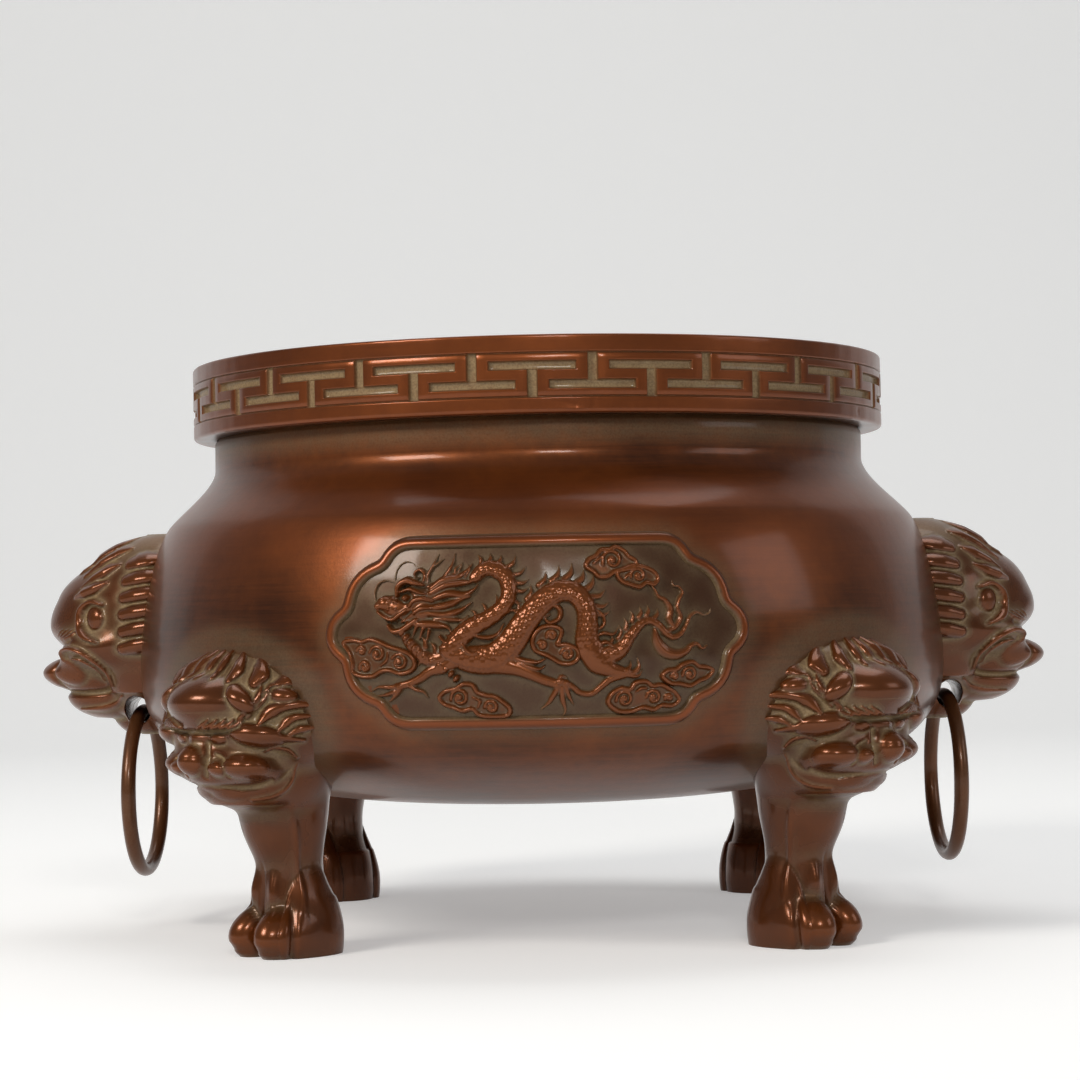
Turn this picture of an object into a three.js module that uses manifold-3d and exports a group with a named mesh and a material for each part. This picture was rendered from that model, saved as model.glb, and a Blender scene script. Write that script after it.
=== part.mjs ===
// A four-legged incense burner of cast, brown-patinated bronze: a wide bowl with a collar of
// meander fret, a lobed relief panel on the front and the back, four lion-mask legs, and two
// lion-head lugs that each carry a loose ring.
// Millimetres, +Z up, front towards -Y, origin on the table under the middle of the bowl.
import * as THREE from "three";
import { mergeVertices } from "three/addons/utils/BufferGeometryUtils.js";
import Module from "manifold-3d";

const wasm = await Module();
wasm.setup();

// Bowl
const rimHeight = 112.8;
const neckBore = 61.8;
const neckWall = 3.4;
const neckHeight = 20.3;
const lipChamfer = 0.7;
const shoulderRadius = 75;
const shoulderDrop = 31.6;
const bellyRadius = 81.5;
const bellyHeight = 56;
const undersideHeight = 25.2;
const bellyFullness = 3;
const bowlWall = 3.2;

// Collar band with its fret
const bandWall = 4.5;
const bandHeight = 14.6;
const bandSeatStep = 0.6;
const bandChamfer = 0.5;
const fretRepeats = 20;
const fretHeight = 8;
const fretLowerMargin = 3.3;
const fretDepth = 0.9;
const fretBarLength = 16;
const fretBarWidth = 1.6;
const fretStemWidth = 1.9;
const fretBarOffset = 2.4;

// Relief panels
const panelHeight = 59.6;
const panelStraightHalf = 23.5;
const panelHalfHeight = 16.05;
const panelCornerRadius = 5;
const panelLobeReach = 35.1;
const panelLobeHeight = 4.3;
const panelLobeBulge = 2.4;
const panelTipBulge = 3.8;
const panelPocketDepth = 1.2;
const mouldingRadius = 1.15;
const mouldingLift = 0.35;
const dragonRelief = 1.7;
const cloudRelief = 1.1;

// Legs
const legAngle = 45;
const footInset = 13.3;
const footLength = 20.5;
const footWidth = 17.6;
const toeWidth = 6.8;
const ankleRadius = 6.4;
const kneeRadius = 9.4;
const legHeadInset = 5.5;
const legHeadHeight = 46;
const legHeadTop = 58;
const legMaskWidth = 40;

// Lugs and rings
const lugHeadInset = 1.5;
const lugHeadTop = 79.6;
const lugEyeOutset = 0.4;
const lugEyeHeight = 44.4;
const lugEyeBore = 5.2;
const lugEyeFlare = 4;
const lugEyeCheek = 6;
const lugMaskWidth = 38.4;
const ringRadius = 16.1;
const ringWire = 2.9;
const ringDrop = 0.4;
const ringTwist = 3.2;

// Rivets
const rivetShank = 4;
const rivetHead = 7.2;
const rivetHeadRise = 1.8;
const rivetGrip = 6;
const legRivetHeight = 50;
const lugRivetHeight = 62;

// Clearances and facets
const fitGap = 0.3;
const reliefGap = 0.35;
const cutMargin = 20;
const turnFacets = 48;
const wireFacets = 8;
const ringFacets = 32;
const rivetFacets = 8;
const outerSteps = [8, 4, 4];
const innerSteps = [5, 2, 2];
const loftSides = 20;

const neckRadius = neckBore + neckWall;
const neckFootHeight = rimHeight - neckHeight;
const shoulderHeight = rimHeight - shoulderDrop;
const footRadius = bellyRadius - footInset;
const legHeadRadius = bellyRadius - legHeadInset;
const lugHeadRadius = bellyRadius - lugHeadInset;
const lugEyeRadius = bellyRadius + lugEyeOutset;
const ledgeRadius = neckRadius + bandSeatStep;
const bandSeatHeight = rimHeight - bandHeight;
const bandBore = neckRadius + fitGap;
const bandRadius = bandBore + bandWall;
const fretMiddle = bandSeatHeight + fretLowerMargin + fretHeight / 2;
const degree = Math.PI / 180;
const facetAngle = (2 * Math.PI) / turnFacets;

// Solids from three.js geometry, and back
function solidOf(geometry) {
  const bare = geometry.clone();
  bare.deleteAttribute("normal");
  bare.deleteAttribute("uv");
  const merged = mergeVertices(bare, 1e-4);
  const triVerts = new Uint32Array(merged.index.array);
  const vertProperties = merged.attributes.position.array;
  return new wasm.Manifold(new wasm.Mesh({ numProp: 3, vertProperties, triVerts }));
}

function geometryOf(solid) {
  const made = solid.getMesh();
  const geometry = new THREE.BufferGeometry();
  geometry.setAttribute("position", new THREE.BufferAttribute(made.vertProperties, 3));
  geometry.setIndex(new THREE.BufferAttribute(made.triVerts, 1));
  return geometry;
}

function joined(solids) {
  return solids.reduce((whole, next) => whole.add(next));
}

function turned(profile, facets = turnFacets) {
  const points = profile.map(([radius, height]) => new THREE.Vector2(radius, height));
  return new THREE.LatheGeometry(points, facets).rotateX(Math.PI / 2);
}

// The bowl's outer outline, from the middle of the underside up to the foot of the neck.
// The underside is a superellipse, the shoulder and the neck's cove are Bezier curves.
function bowlOutline([undersideSteps, shoulderSteps, coveSteps]) {
  const underside = [];
  for (let step = 0; step < undersideSteps; step += 1) {
    const angle = (step / undersideSteps) * (Math.PI / 2);
    const out = Math.sin(angle) ** (2 / bellyFullness);
    const drop = Math.cos(angle) ** (2 / bellyFullness);
    const height = bellyHeight - (bellyHeight - undersideHeight) * drop;
    underside.push(new THREE.Vector2(bellyRadius * out, height));
  }
  const shoulderRise = shoulderHeight - bellyHeight;
  const slope = new THREE.Vector2(0.648, -0.762);
  const shoulderEnd = new THREE.Vector2(shoulderRadius, shoulderHeight);
  const shoulder = new THREE.CubicBezierCurve(
    new THREE.Vector2(bellyRadius, bellyHeight),
    new THREE.Vector2(bellyRadius, bellyHeight + shoulderRise * 0.4),
    shoulderEnd.clone().addScaledVector(slope, 4),
    shoulderEnd,
  );
  const cove = new THREE.CubicBezierCurve(
    shoulderEnd,
    shoulderEnd.clone().addScaledVector(slope, -4),
    new THREE.Vector2(ledgeRadius, neckFootHeight - 3.6),
    new THREE.Vector2(ledgeRadius, neckFootHeight),
  );
  const shoulderPoints = shoulder.getPoints(shoulderSteps).slice(0, -1);
  return [...underside, ...shoulderPoints, ...cove.getPoints(coveSteps)];
}

// The same outline moved out along its normals, or in where the distance is negative
function offsetOutline(distance, steps = outerSteps) {
  const outline = bowlOutline(steps);
  return outline.map((point, index) => {
    const before = outline[Math.max(index - 1, 0)];
    const after = outline[Math.min(index + 1, outline.length - 1)];
    const along = after.clone().sub(before).normalize();
    const radius = point.x + along.y * distance;
    return [index === 0 ? 0 : radius, point.y - (index === 0 ? distance : along.x * distance)];
  });
}

// The radius of the bowl at a height, on its outer wall grown by a distance
function bowlRadiusAt(height, distance = 0) {
  const outline = offsetOutline(distance, distance < 0 ? innerSteps : outerSteps);
  const above = outline.findIndex(([, level]) => level >= height);
  const upper = outline[above];
  const lower = outline[above - 1];
  return lower[0] + ((upper[0] - lower[0]) * (height - lower[1])) / (upper[1] - lower[1]);
}

// The filled outer form of the bowl below its neck, grown by a distance
function bowlForm(distance) {
  const outline = offsetOutline(distance);
  const top = outline[outline.length - 1];
  return solidOf(turned([...outline, [0, top[1]]]));
}

// A straight pin with a domed head, along +X, with its head's seat at the start
function pinProfile(shankRadius, headRadius, headRise, length) {
  return [
    [0, -headRise],
    [headRadius * 0.62, -headRise * 0.82],
    [headRadius, -headRise * 0.3],
    [headRadius, 0],
    [shankRadius, 0],
    [shankRadius, length],
    [0, length],
  ];
}

function alongX(geometry) {
  return geometry.rotateY(Math.PI / 2);
}

// A rivet whose flat head seat just clears the curved inside of the bowl
function rivetGeometry(height) {
  const edge = rivetHead / 2;
  const wallBelow = bowlRadiusAt(height - edge, -bowlWall);
  const wallAbove = bowlRadiusAt(height + edge, -bowlWall);
  const roundness = (edge * edge) / bellyRadius;
  const seat = Math.min(wallBelow, wallAbove) - roundness - fitGap;
  const length = bowlRadiusAt(height) + rivetGrip - seat;
  const profile = pinProfile(rivetShank / 2, edge, rivetHeadRise, length);
  return alongX(turned(profile, rivetFacets)).translate(seat, 0, height);
}

// The clearance hole for a rivet: right through the bowl wall and on into what it holds
function rivetHole(height) {
  const start = bowlRadiusAt(height) - bowlWall - cutMargin / 4;
  const end = bowlRadiusAt(height) + rivetGrip + fitGap;
  const radius = rivetShank / 2 + fitGap;
  const hole = turned([[0, 0], [radius, 0], [radius, end - start], [0, end - start]], rivetFacets);
  return alongX(hole).translate(start, 0, height);
}

// Panel outline in the plane of the panel: straight edges, and lobed ends made of arcs
function arcBetween(from, to, bulge, steps) {
  const chord = to.clone().sub(from);
  const half = chord.length() / 2;
  const radius = (half * half + bulge * bulge) / (2 * bulge);
  const out = new THREE.Vector2(-chord.y, chord.x).normalize();
  const centre = from.clone().add(to).multiplyScalar(0.5).addScaledVector(out, bulge - radius);
  const start = Math.atan2(from.y - centre.y, from.x - centre.x);
  const sweep = -2 * Math.asin(half / radius);
  const points = [];
  for (let step = 0; step < steps; step += 1) {
    const angle = start + (sweep * step) / steps;
    const spoke = new THREE.Vector2(Math.cos(angle), Math.sin(angle));
    points.push(centre.clone().addScaledVector(spoke, radius));
  }
  return points;
}

function panelQuarter() {
  const straightEnd = new THREE.Vector2(panelStraightHalf, panelHalfHeight);
  const cornerEnd = new THREE.Vector2(
    panelStraightHalf + panelCornerRadius * 0.98,
    panelHalfHeight - panelCornerRadius * 0.8,
  );
  const lobeEnd = new THREE.Vector2(panelLobeReach, panelLobeHeight);
  const lobeEndBelow = new THREE.Vector2(panelLobeReach, -panelLobeHeight);
  const cornerBulge = panelCornerRadius * 0.27;
  const edge = [];
  const straightSteps = 3;
  for (let step = 0; step < straightSteps; step += 1) {
    edge.push(new THREE.Vector2((panelStraightHalf * step) / straightSteps, panelHalfHeight));
  }
  return [
    ...edge,
    ...arcBetween(straightEnd, cornerEnd, cornerBulge, 3),
    ...arcBetween(cornerEnd, lobeEnd, panelLobeBulge, 4),
    ...arcBetween(lobeEnd, lobeEndBelow, panelTipBulge, 6).slice(0, 4),
  ];
}

function panelOutline() {
  const quarter = panelQuarter();
  const right = [...quarter, ...quarter.slice(1, -1).reverse().map((p) => new THREE.Vector2(p.x, -p.y))];
  const lowerMiddle = new THREE.Vector2(0, -panelHalfHeight);
  const left = right.slice(1).reverse().map((p) => new THREE.Vector2(-p.x, p.y));
  return [...right, lowerMiddle, ...left];
}

// A closed outline moved outwards by a distance; the outline runs clockwise
function grownOutline(points, distance) {
  return points.map((point, index) => {
    const before = points[(index + points.length - 1) % points.length];
    const after = points[(index + 1) % points.length];
    const first = point.clone().sub(before).normalize();
    const second = after.clone().sub(point).normalize();
    const middle = first.clone().add(second).normalize();
    const miter = distance / Math.max(middle.dot(first), 0.5);
    return new THREE.Vector2(point.x - middle.y * miter, point.y + middle.x * miter);
  });
}

// A prism through the bowl's front wall, with the panel's outline seen from the front
function panelPrism(grown) {
  const seen = grownOutline(panelOutline(), grown).map((point) => {
    const angle = point.x / bellyRadius;
    return new THREE.Vector2(bellyRadius * Math.sin(angle), point.y);
  });
  const shape = new THREE.Shape(seen);
  const prism = new THREE.ExtrudeGeometry(shape, { depth: bellyRadius, bevelEnabled: false });
  return solidOf(prism.rotateX(Math.PI / 2).translate(0, -bellyRadius / 2, panelHeight));
}

// A flat relief in the panel's plane, wrapped onto the bowl's front wall
function wrapped(geometry, lift) {
  const position = geometry.getAttribute("position");
  for (let index = 0; index < position.count; index += 1) {
    const height = panelHeight + position.getY(index);
    const radius = bowlRadiusAt(height) + lift + position.getZ(index);
    const angle = position.getX(index) / bellyRadius;
    position.setXYZ(index, radius * Math.sin(angle), -radius * Math.cos(angle), height);
  }
  return geometry;
}

// The panel's moulding: a bead along the outline, laid on the bowl's wall
function mouldingGeometry() {
  const outline = panelOutline();
  const sides = 6;
  const corners = [];
  const triangles = [];
  for (let index = 0; index < outline.length; index += 1) {
    const inner = grownOutline(outline, -1)[index];
    const across = outline[index].clone().sub(inner);
    for (let side = 0; side < sides; side += 1) {
      const angle = (side / sides) * 2 * Math.PI;
      const reach = Math.cos(angle) * mouldingRadius;
      const flat = outline[index].clone().addScaledVector(across, reach);
      corners.push(flat.x, flat.y, Math.sin(angle) * mouldingRadius);
      const next = ((index + 1) % outline.length) * sides;
      const here = index * sides;
      const after = (side + 1) % sides;
      triangles.push(here + side, here + after, next + after);
      triangles.push(here + side, next + after, next + side);
    }
  }
  const bead = new THREE.BufferGeometry();
  bead.setAttribute("position", new THREE.Float32BufferAttribute(corners, 3));
  bead.setIndex(triangles);
  return wrapped(bead, mouldingLift);
}

// One tapering stroke of the relief: a spline and its widths, evenly spread along it
function strokeSolid({ path, widths }, grown, depth) {
  const points = path.map(([x, y]) => new THREE.Vector2(x, y));
  const curve = new THREE.SplineCurve(points);
  const steps = Math.max(4, Math.round(curve.getLength() / 2.4));
  const left = [];
  const right = [];
  for (let step = 0; step <= steps; step += 1) {
    const share = step / steps;
    const point = curve.getPointAt(share);
    const along = curve.getTangentAt(share);
    const place = share * (widths.length - 1);
    const before = Math.min(Math.floor(place), widths.length - 2);
    const width = widths[before] + (widths[before + 1] - widths[before]) * (place - before);
    const half = width / 2 + grown;
    const end = step === 0 ? -grown : step === steps ? grown : 0;
    const middle = point.clone().addScaledVector(along, end);
    left.push(new THREE.Vector2(middle.x - along.y * half, middle.y + along.x * half));
    right.push(new THREE.Vector2(middle.x + along.y * half, middle.y - along.x * half));
  }
  const shape = new THREE.Shape([...left, ...right.reverse()]);
  return solidOf(new THREE.ExtrudeGeometry(shape, { depth, bevelEnabled: false }));
}

// The dragon: neck arch, trunk, tail, head with horns and mane, four limbs with claws
const dragonStrokes = [
  {
    path: [
      [-10.4, 10.3], [-7.9, 10.5], [-5.8, 8.6], [-5.1, 6.4], [-6.2, 3.9], [-8.7, 1.9],
      [-12.2, 0.2], [-14.8, -2.2], [-15, -3.6],
    ],
    widths: [2.2, 3, 3.2, 3.4, 3.8, 4, 3],
  },
  {
    path: [
      [-15.4, -3.4], [-13, -4.4], [-10.2, -4.7], [-6.6, -3.2], [-4.1, -0.4], [-1.9, 3], [0.9, 6],
      [4.2, 7.5], [7, 6.5], [8.4, 3.8], [8.6, 0.8], [8.9, -2.2], [10.4, -5],
    ],
    widths: [3, 4.6, 4.6, 4.2, 3.8, 3.5, 3.2, 3.2, 4, 4.2],
  },
  {
    path: [
      [9.5, -4.5], [13.5, -4.1], [15.6, -1.9], [17.7, 0.9], [20.4, 1.7], [22.4, -0.5],
      [24.4, -1.7], [26.5, -0.5], [27.7, 1.8], [31.3, 2.1],
    ],
    widths: [3, 2.6, 2.2, 1.8, 1.5, 1.2, 0.5],
  },
  {
    path: [[21.1, -0.2], [21.2, -3], [23.2, -5], [25.6, -4.7], [27.8, -3.3], [30.5, -3.7]],
    widths: [0.8, 1.6, 2.2, 1.2, 0.4],
  },
  {
    path: [[22.7, -0.8], [25, 0.4], [25.6, 3], [24.8, 4.6], [25.7, 6.3], [24.5, 8.1]],
    widths: [1.2, 1.2, 0.9, 0.4],
  },
  { path: [[24.4, 0.9], [23.1, 3.5], [21.3, 5.3], [20.6, 7.4]], widths: [1, 1, 0.7, 0.4] },
  { path: [[-29.8, 4.4], [-27, 4.6], [-23.5, 5.6], [-19, 5.6]], widths: [2.2, 4.4, 6.4, 4.4] },
  { path: [[-21.2, 7.6], [-19.6, 11.5], [-18.9, 13.5]], widths: [1.2, 0.8, 0.4] },
  { path: [[-20.4, 7.6], [-17.3, 10.4], [-15.8, 13.1]], widths: [1.2, 0.8, 0.4] },
  { path: [[-20.5, 6.6], [-16.7, 8.6], [-13.5, 9.1], [-10.7, 10.5]], widths: [1.6, 1.4, 1.2, 0.8] },
  { path: [[-20, 5.4], [-16.6, 6.9], [-13.5, 7.5], [-10.9, 8]], widths: [1.4, 1.3, 1.1, 0.5] },
  { path: [[-20, 4.6], [-16, 4.6], [-13.4, 4.3], [-11.3, 5.6]], widths: [1.6, 1.4, 1, 0.5] },
  { path: [[-24, 3], [-20, 1], [-18, 1.1], [-15.9, 0.7]], widths: [2, 1.4, 1, 0.6] },
  {
    path: [[-26.6, 3], [-25.6, -0.4], [-23, -1.4], [-20.6, -3.6], [-17.4, -4.7], [-14.6, -4.4]],
    widths: [1.4, 1.8, 1.8, 2, 2.2],
  },
  {
    path: [[-15, -4.6], [-18.4, -5.8], [-19.6, -7], [-22.8, -9.2], [-26.2, -11.1]],
    widths: [2.4, 2, 1.7, 1.5, 1.6],
  },
  { path: [[-25.4, -10.8], [-28, -9.9], [-30.2, -9.7]], widths: [1.2, 0.9, 0.4] },
  { path: [[-25.6, -10.8], [-27.4, -11.4], [-28.3, -12.4]], widths: [1.2, 0.9, 0.4] },
  { path: [[-9.4, -5.2], [-3.6, -7.2], [0.4, -8.9], [3.4, -9.6]], widths: [4.2, 3.2, 2.2, 2.2] },
  { path: [[3, -9.4], [1.9, -12.6], [0.4, -14]], widths: [1.2, 0.9, 0.4] },
  { path: [[3.4, -9.6], [3.2, -12.8], [4, -14.2]], widths: [1.2, 0.9, 0.4] },
  { path: [[3.6, -9.6], [5, -12.2], [6.1, -13.4]], widths: [1.2, 0.9, 0.4] },
  { path: [[9.4, -3.7], [10.5, -6], [13.1, -7.4], [15.2, -7.8]], widths: [4.6, 4, 2.8, 1.8] },
  {
    path: [[15, -7.6], [12.6, -9.1], [10.1, -11.2], [7.5, -11.2], [5.2, -9.7], [3, -9.4]],
    widths: [1.6, 1.3, 1.1, 1.1, 1.2],
  },
  { path: [[15.2, -7.2], [17, -7.8], [18, -6.4], [17.4, -4.7]], widths: [1.2, 1.1, 0.9, 0.4] },
];

// The clouds: closed outlines through a few points
const cloudOutlines = {
  upper: [
    [8.6, 12], [10.9, 14], [14.6, 13.8], [17.6, 12.2], [21.2, 9.2], [18.5, 7.6], [15, 9.4],
    [12.4, 9.8],
  ],
  left: [
    [-34.4, -2.2], [-31.4, -1.3], [-26.8, -3.1], [-22.8, -4.2], [-23, -6.6], [-26, -6.8],
    [-28.4, -5.4], [-31.4, -7.4], [-33, -5.6],
  ],
  lower: [
    [-17.6, -11.1], [-15.4, -9.7], [-11.4, -10.3], [-9.2, -12.2], [-5.6, -13.2], [-6.6, -14.2],
    [-10.2, -14.1], [-14, -13.3],
  ],
  middle: [
    [4.6, -2.6], [7.2, -3.4], [6.9, -5.6], [3.6, -5.9], [1.6, -4.4], [-0.8, -2.8], [-0.6, 0.2],
    [3.2, 0.9], [3.4, -1.4],
  ],
  lower_right: [
    [14.2, -11.2], [17.6, -10.2], [20.4, -10.7], [25, -11.8], [23.4, -13.6], [18.6, -13.4],
    [16.2, -14.2], [13.4, -12.8],
  ],
  right: [
    [22, -8.8], [24.4, -6.8], [28.4, -7.2], [31.6, -8.2], [29.4, -9.6], [25.4, -10.4],
  ],
};

function cloudSolid(outline) {
  const points = [...outline, outline[0]].map(([x, y]) => new THREE.Vector2(x, y));
  const curve = new THREE.SplineCurve(points);
  const shape = new THREE.Shape(curve.getPoints(outline.length * 2).slice(0, -1));
  return solidOf(new THREE.ExtrudeGeometry(shape, { depth: cloudRelief, bevelEnabled: false }));
}

function panelSolids() {
  const front = panelPrism(0);
  const backing = bowlForm(fitGap - panelPocketDepth);
  const ground = bowlForm(0).subtract(backing).intersect(front);
  const moulding = solidOf(mouldingGeometry()).subtract(bowlForm(fitGap));
  const inside = grownOutline(panelOutline(), -mouldingRadius - 2 * fitGap);
  const field = solidOf(new THREE.ExtrudeGeometry(new THREE.Shape(inside), { depth: 3, bevelEnabled: false }));
  const dragonFlat = joined(dragonStrokes.map((stroke) => strokeSolid(stroke, 0, dragonRelief)));
  const dragonRoom = joined(dragonStrokes.map((stroke) => strokeSolid(stroke, fitGap, dragonRelief)));
  const relief = { dragon: wrapped(geometryOf(dragonFlat.intersect(field)), reliefGap) };
  for (const [place, outline] of Object.entries(cloudOutlines)) {
    const cloud = cloudSolid(outline).subtract(dragonRoom).intersect(field);
    relief[`cloud_${place}`] = wrapped(geometryOf(cloud), reliefGap);
  }
  return { panel_ground: geometryOf(ground), panel_moulding: geometryOf(moulding), ...relief };
}

// How far an ellipsoid reaches from an upright axis, at one height and in one direction.
// One that stands clear of the axis fades in and out, so that it swells from its neighbours.
function lobeReach(lobe, axis, height, angle) {
  const level = (height - lobe.z) / lobe.tall;
  if (Math.abs(level) >= 1) {
    return 0;
  }
  const shrink = Math.sqrt(1 - level * level);
  const halfOut = lobe.deep * shrink;
  const halfSide = lobe.wide * shrink;
  const out = Math.cos(angle) / halfOut;
  const side = Math.sin(angle) / halfSide;
  const centreOut = (lobe.x - axis) / halfOut;
  const centreSide = (lobe.y ?? 0) / halfSide;
  const a = out * out + side * side;
  const b = out * centreOut + side * centreSide;
  const c = centreOut * centreOut + centreSide * centreSide - 1;
  const root = b * b - a * c;
  const fade = c > 0 ? shrink ** 0.4 : 1;
  return root < 0 ? 0 : Math.max(0, (fade * (b + Math.sqrt(root))) / a);
}

// A closed form that stands on an upright axis: at each height its reach in each direction
// is a soft maximum of its lobes
function loftSolid(lobes, axisAt, heights) {
  const softness = 9;
  const corners = [];
  const triangles = [];
  for (const height of heights) {
    for (let side = 0; side < loftSides; side += 1) {
      const angle = (side / loftSides) * 2 * Math.PI;
      const axis = axisAt(height);
      const reaches = lobes.map((lobe) => lobeReach(lobe, axis, height, angle));
      const total = reaches.reduce((sum, reach) => sum + reach ** softness, 0);
      const reach = Math.max(total ** (1 / softness), 1);
      corners.push(axis + reach * Math.cos(angle), reach * Math.sin(angle), height);
    }
  }
  for (let level = 0; level < heights.length - 1; level += 1) {
    for (let side = 0; side < loftSides; side += 1) {
      const here = level * loftSides;
      const next = (side + 1) % loftSides;
      triangles.push(here + side, here + next, here + loftSides + next);
      triangles.push(here + side, here + loftSides + next, here + loftSides + side);
    }
  }
  const last = (heights.length - 1) * loftSides;
  for (let side = 1; side < loftSides - 1; side += 1) {
    triangles.push(0, side + 1, side);
    triangles.push(last, last + side, last + side + 1);
  }
  const geometry = new THREE.BufferGeometry();
  geometry.setAttribute("position", new THREE.Float32BufferAttribute(corners, 3));
  geometry.setIndex(triangles);
  return solidOf(geometry);
}

function pair(lobe) {
  return [lobe, { ...lobe, y: -lobe.y }];
}

// The lobes of a mask as ellipsoids: x is out from the belly, y across the mask and z up from
// its middle, each in steps of the unit
function maskOf(unit, middle, lobes) {
  return lobes.map((lobe) => ({
    x: bellyRadius + lobe.x * unit,
    y: (lobe.y ?? 0) * unit,
    z: middle + lobe.z * unit,
    deep: lobe.deep * unit,
    wide: lobe.wide * unit,
    tall: lobe.tall * unit,
  }));
}

const legUnit = legMaskWidth / 40;
const legMask = maskOf(legUnit, legHeadHeight, [
  { x: -8.5, z: 0, deep: 16, wide: 20, tall: 13 },
  { x: 1.5, z: 2.5, deep: 8.4, wide: 9.4, tall: 5.2 },
  ...pair({ x: -1.5, y: 12, z: 2.4, deep: 6, wide: 6, tall: 5 }),
  ...pair({ x: -3.5, y: 16.4, z: 3.6, deep: 4, wide: 4, tall: 4.4 }),
  ...pair({ x: -2.5, y: 12.4, z: -4.4, deep: 6, wide: 6.4, tall: 5 }),
  { x: 0.5, z: -9.4, deep: 8.2, wide: 8, tall: 4.4 },
  ...pair({ x: 1.5, y: 6, z: -9.6, deep: 4.6, wide: 4.6, tall: 4.4 }),
  { x: -4.5, z: -14.2, deep: 8.4, wide: 8, tall: 3.2 },
]);

// The head of a lug, measured down from its top
const lugUnit = lugMaskWidth / 38.4;
const lugMask = [
  ...maskOf(lugUnit, lugHeadTop, [
    { x: -4.5, z: -17.3, deep: 20.6, wide: 19.2, tall: 17.8 },
    { x: 5.5, z: -13.6, deep: 11, wide: 10.5, tall: 8.6 },
    ...pair({ x: 4.5, y: 12, z: -13.6, deep: 7, wide: 6, tall: 6.4 }),
    ...pair({ x: -0.5, y: 16, z: -13.6, deep: 5, wide: 4, tall: 5.4 }),
    { x: 8.5, z: -19, deep: 10.2, wide: 9.6, tall: 5.2 },
    ...pair({ x: 3.5, y: 12.4, z: -22.8, deep: 7.6, wide: 6, tall: 6 }),
    { x: 8.5, z: -28.4, deep: 10.8, wide: 8.6, tall: 4.6 },
    ...pair({ x: 8.5, y: 5.6, z: -29, deep: 8.4, wide: 4.4, tall: 4 }),
    { x: 3.5, z: -33.2, deep: 10.8, wide: 8, tall: 3.8 },
  ]),
  {
    x: lugEyeRadius,
    z: lugEyeHeight + 1.2,
    deep: lugEyeBore + 1.4,
    wide: lugEyeCheek,
    tall: lugEyeBore + 1,
  },
];

function legAxis(height) {
  const rise = Math.min(Math.max(height / legHeadHeight, 0), 1);
  return footRadius + (legHeadRadius - footRadius) * rise ** 3;
}

// The toes and the foot, the ankle, the knee and the neck of the leg under its mask
function legColumn() {
  const toeReach = footLength / 4;
  const toes = [-1, 0, 1].map((place) => ({
    x: footRadius + (place === 0 ? toeReach : toeReach * 0.64),
    y: place * toeWidth * 0.8,
    z: 4.8 * legUnit,
    deep: toeReach,
    wide: toeWidth / 2,
    tall: 6 * legUnit,
  }));
  const shaft = [
    { x: -1, z: 9, deep: 8, wide: 7, tall: 6.5 },
    { x: 4, z: 38, deep: 11, wide: 13.5, tall: 13 },
  ].map(({ x, z, deep, wide, tall }) => ({
    x: footRadius + x * legUnit,
    z: z * legUnit,
    deep: deep * legUnit,
    wide: wide * legUnit,
    tall: tall * legUnit,
  }));
  const bones = [
    [-1.2, 17, ankleRadius],
    [1.2, 31, kneeRadius],
  ].map(([x, z, radius]) => ({
    x: footRadius + x * legUnit,
    z: z * legUnit,
    deep: radius,
    wide: radius,
    tall: 14 * legUnit,
  }));
  const foot = { x: footRadius, z: 3 * legUnit, deep: footLength / 2, wide: footWidth / 2, tall: 8.5 * legUnit };
  return [foot, ...toes, ...shaft, ...bones];
}

function legSolid() {
  const columnLevels = [0, 2.5, 5, 7.5, 10, 12.5, 16, 20, 24, 28];
  const maskLevels = [30.5, 33, 35.5, 38, 40.5, 43, 45.5, 48, 50.5, 53, 55.5, 58];
  const heights = [...columnLevels, ...maskLevels].map((level) => (level / 58) * legHeadTop);
  const loft = loftSolid([...legColumn(), ...legMask], legAxis, heights);
  const bowl = solidOf(geometryOf(bowlForm(fitGap)).rotateZ(facetAngle / 2));
  return loft.subtract(bowl).subtract(solidOf(rivetHole(legRivetHeight)));
}

// A hole across the lug's jaw, wider towards both ends, for the ring's wire
function lugEyeGeometry() {
  const bore = lugEyeBore / 2;
  const profile = [
    [0, -cutMargin],
    [bore + lugEyeFlare, -cutMargin],
    [bore + 0.2, -4],
    [bore, 0],
    [bore + 0.2, 4],
    [bore + lugEyeFlare, cutMargin],
    [0, cutMargin],
  ];
  return turned(profile, 14).rotateX(Math.PI / 2).translate(lugEyeRadius, 0, lugEyeHeight);
}

function lugSolid() {
  const jawDrops = [39.8, 37.8, 35.6, 33.1, 31.1, 29.1, 26.6, 24.1];
  const drops = [...jawDrops, 21.6, 18.6, 15.6, 12.6, 9.6, 6.6, 4.1, 2, 0];
  const heights = drops.map((drop) => lugHeadTop - drop * lugUnit);
  const loft = loftSolid(lugMask, () => lugHeadRadius, heights);
  const hole = solidOf(lugEyeGeometry());
  return loft.subtract(bowlForm(fitGap)).subtract(hole).subtract(solidOf(rivetHole(lugRivetHeight)));
}

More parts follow.
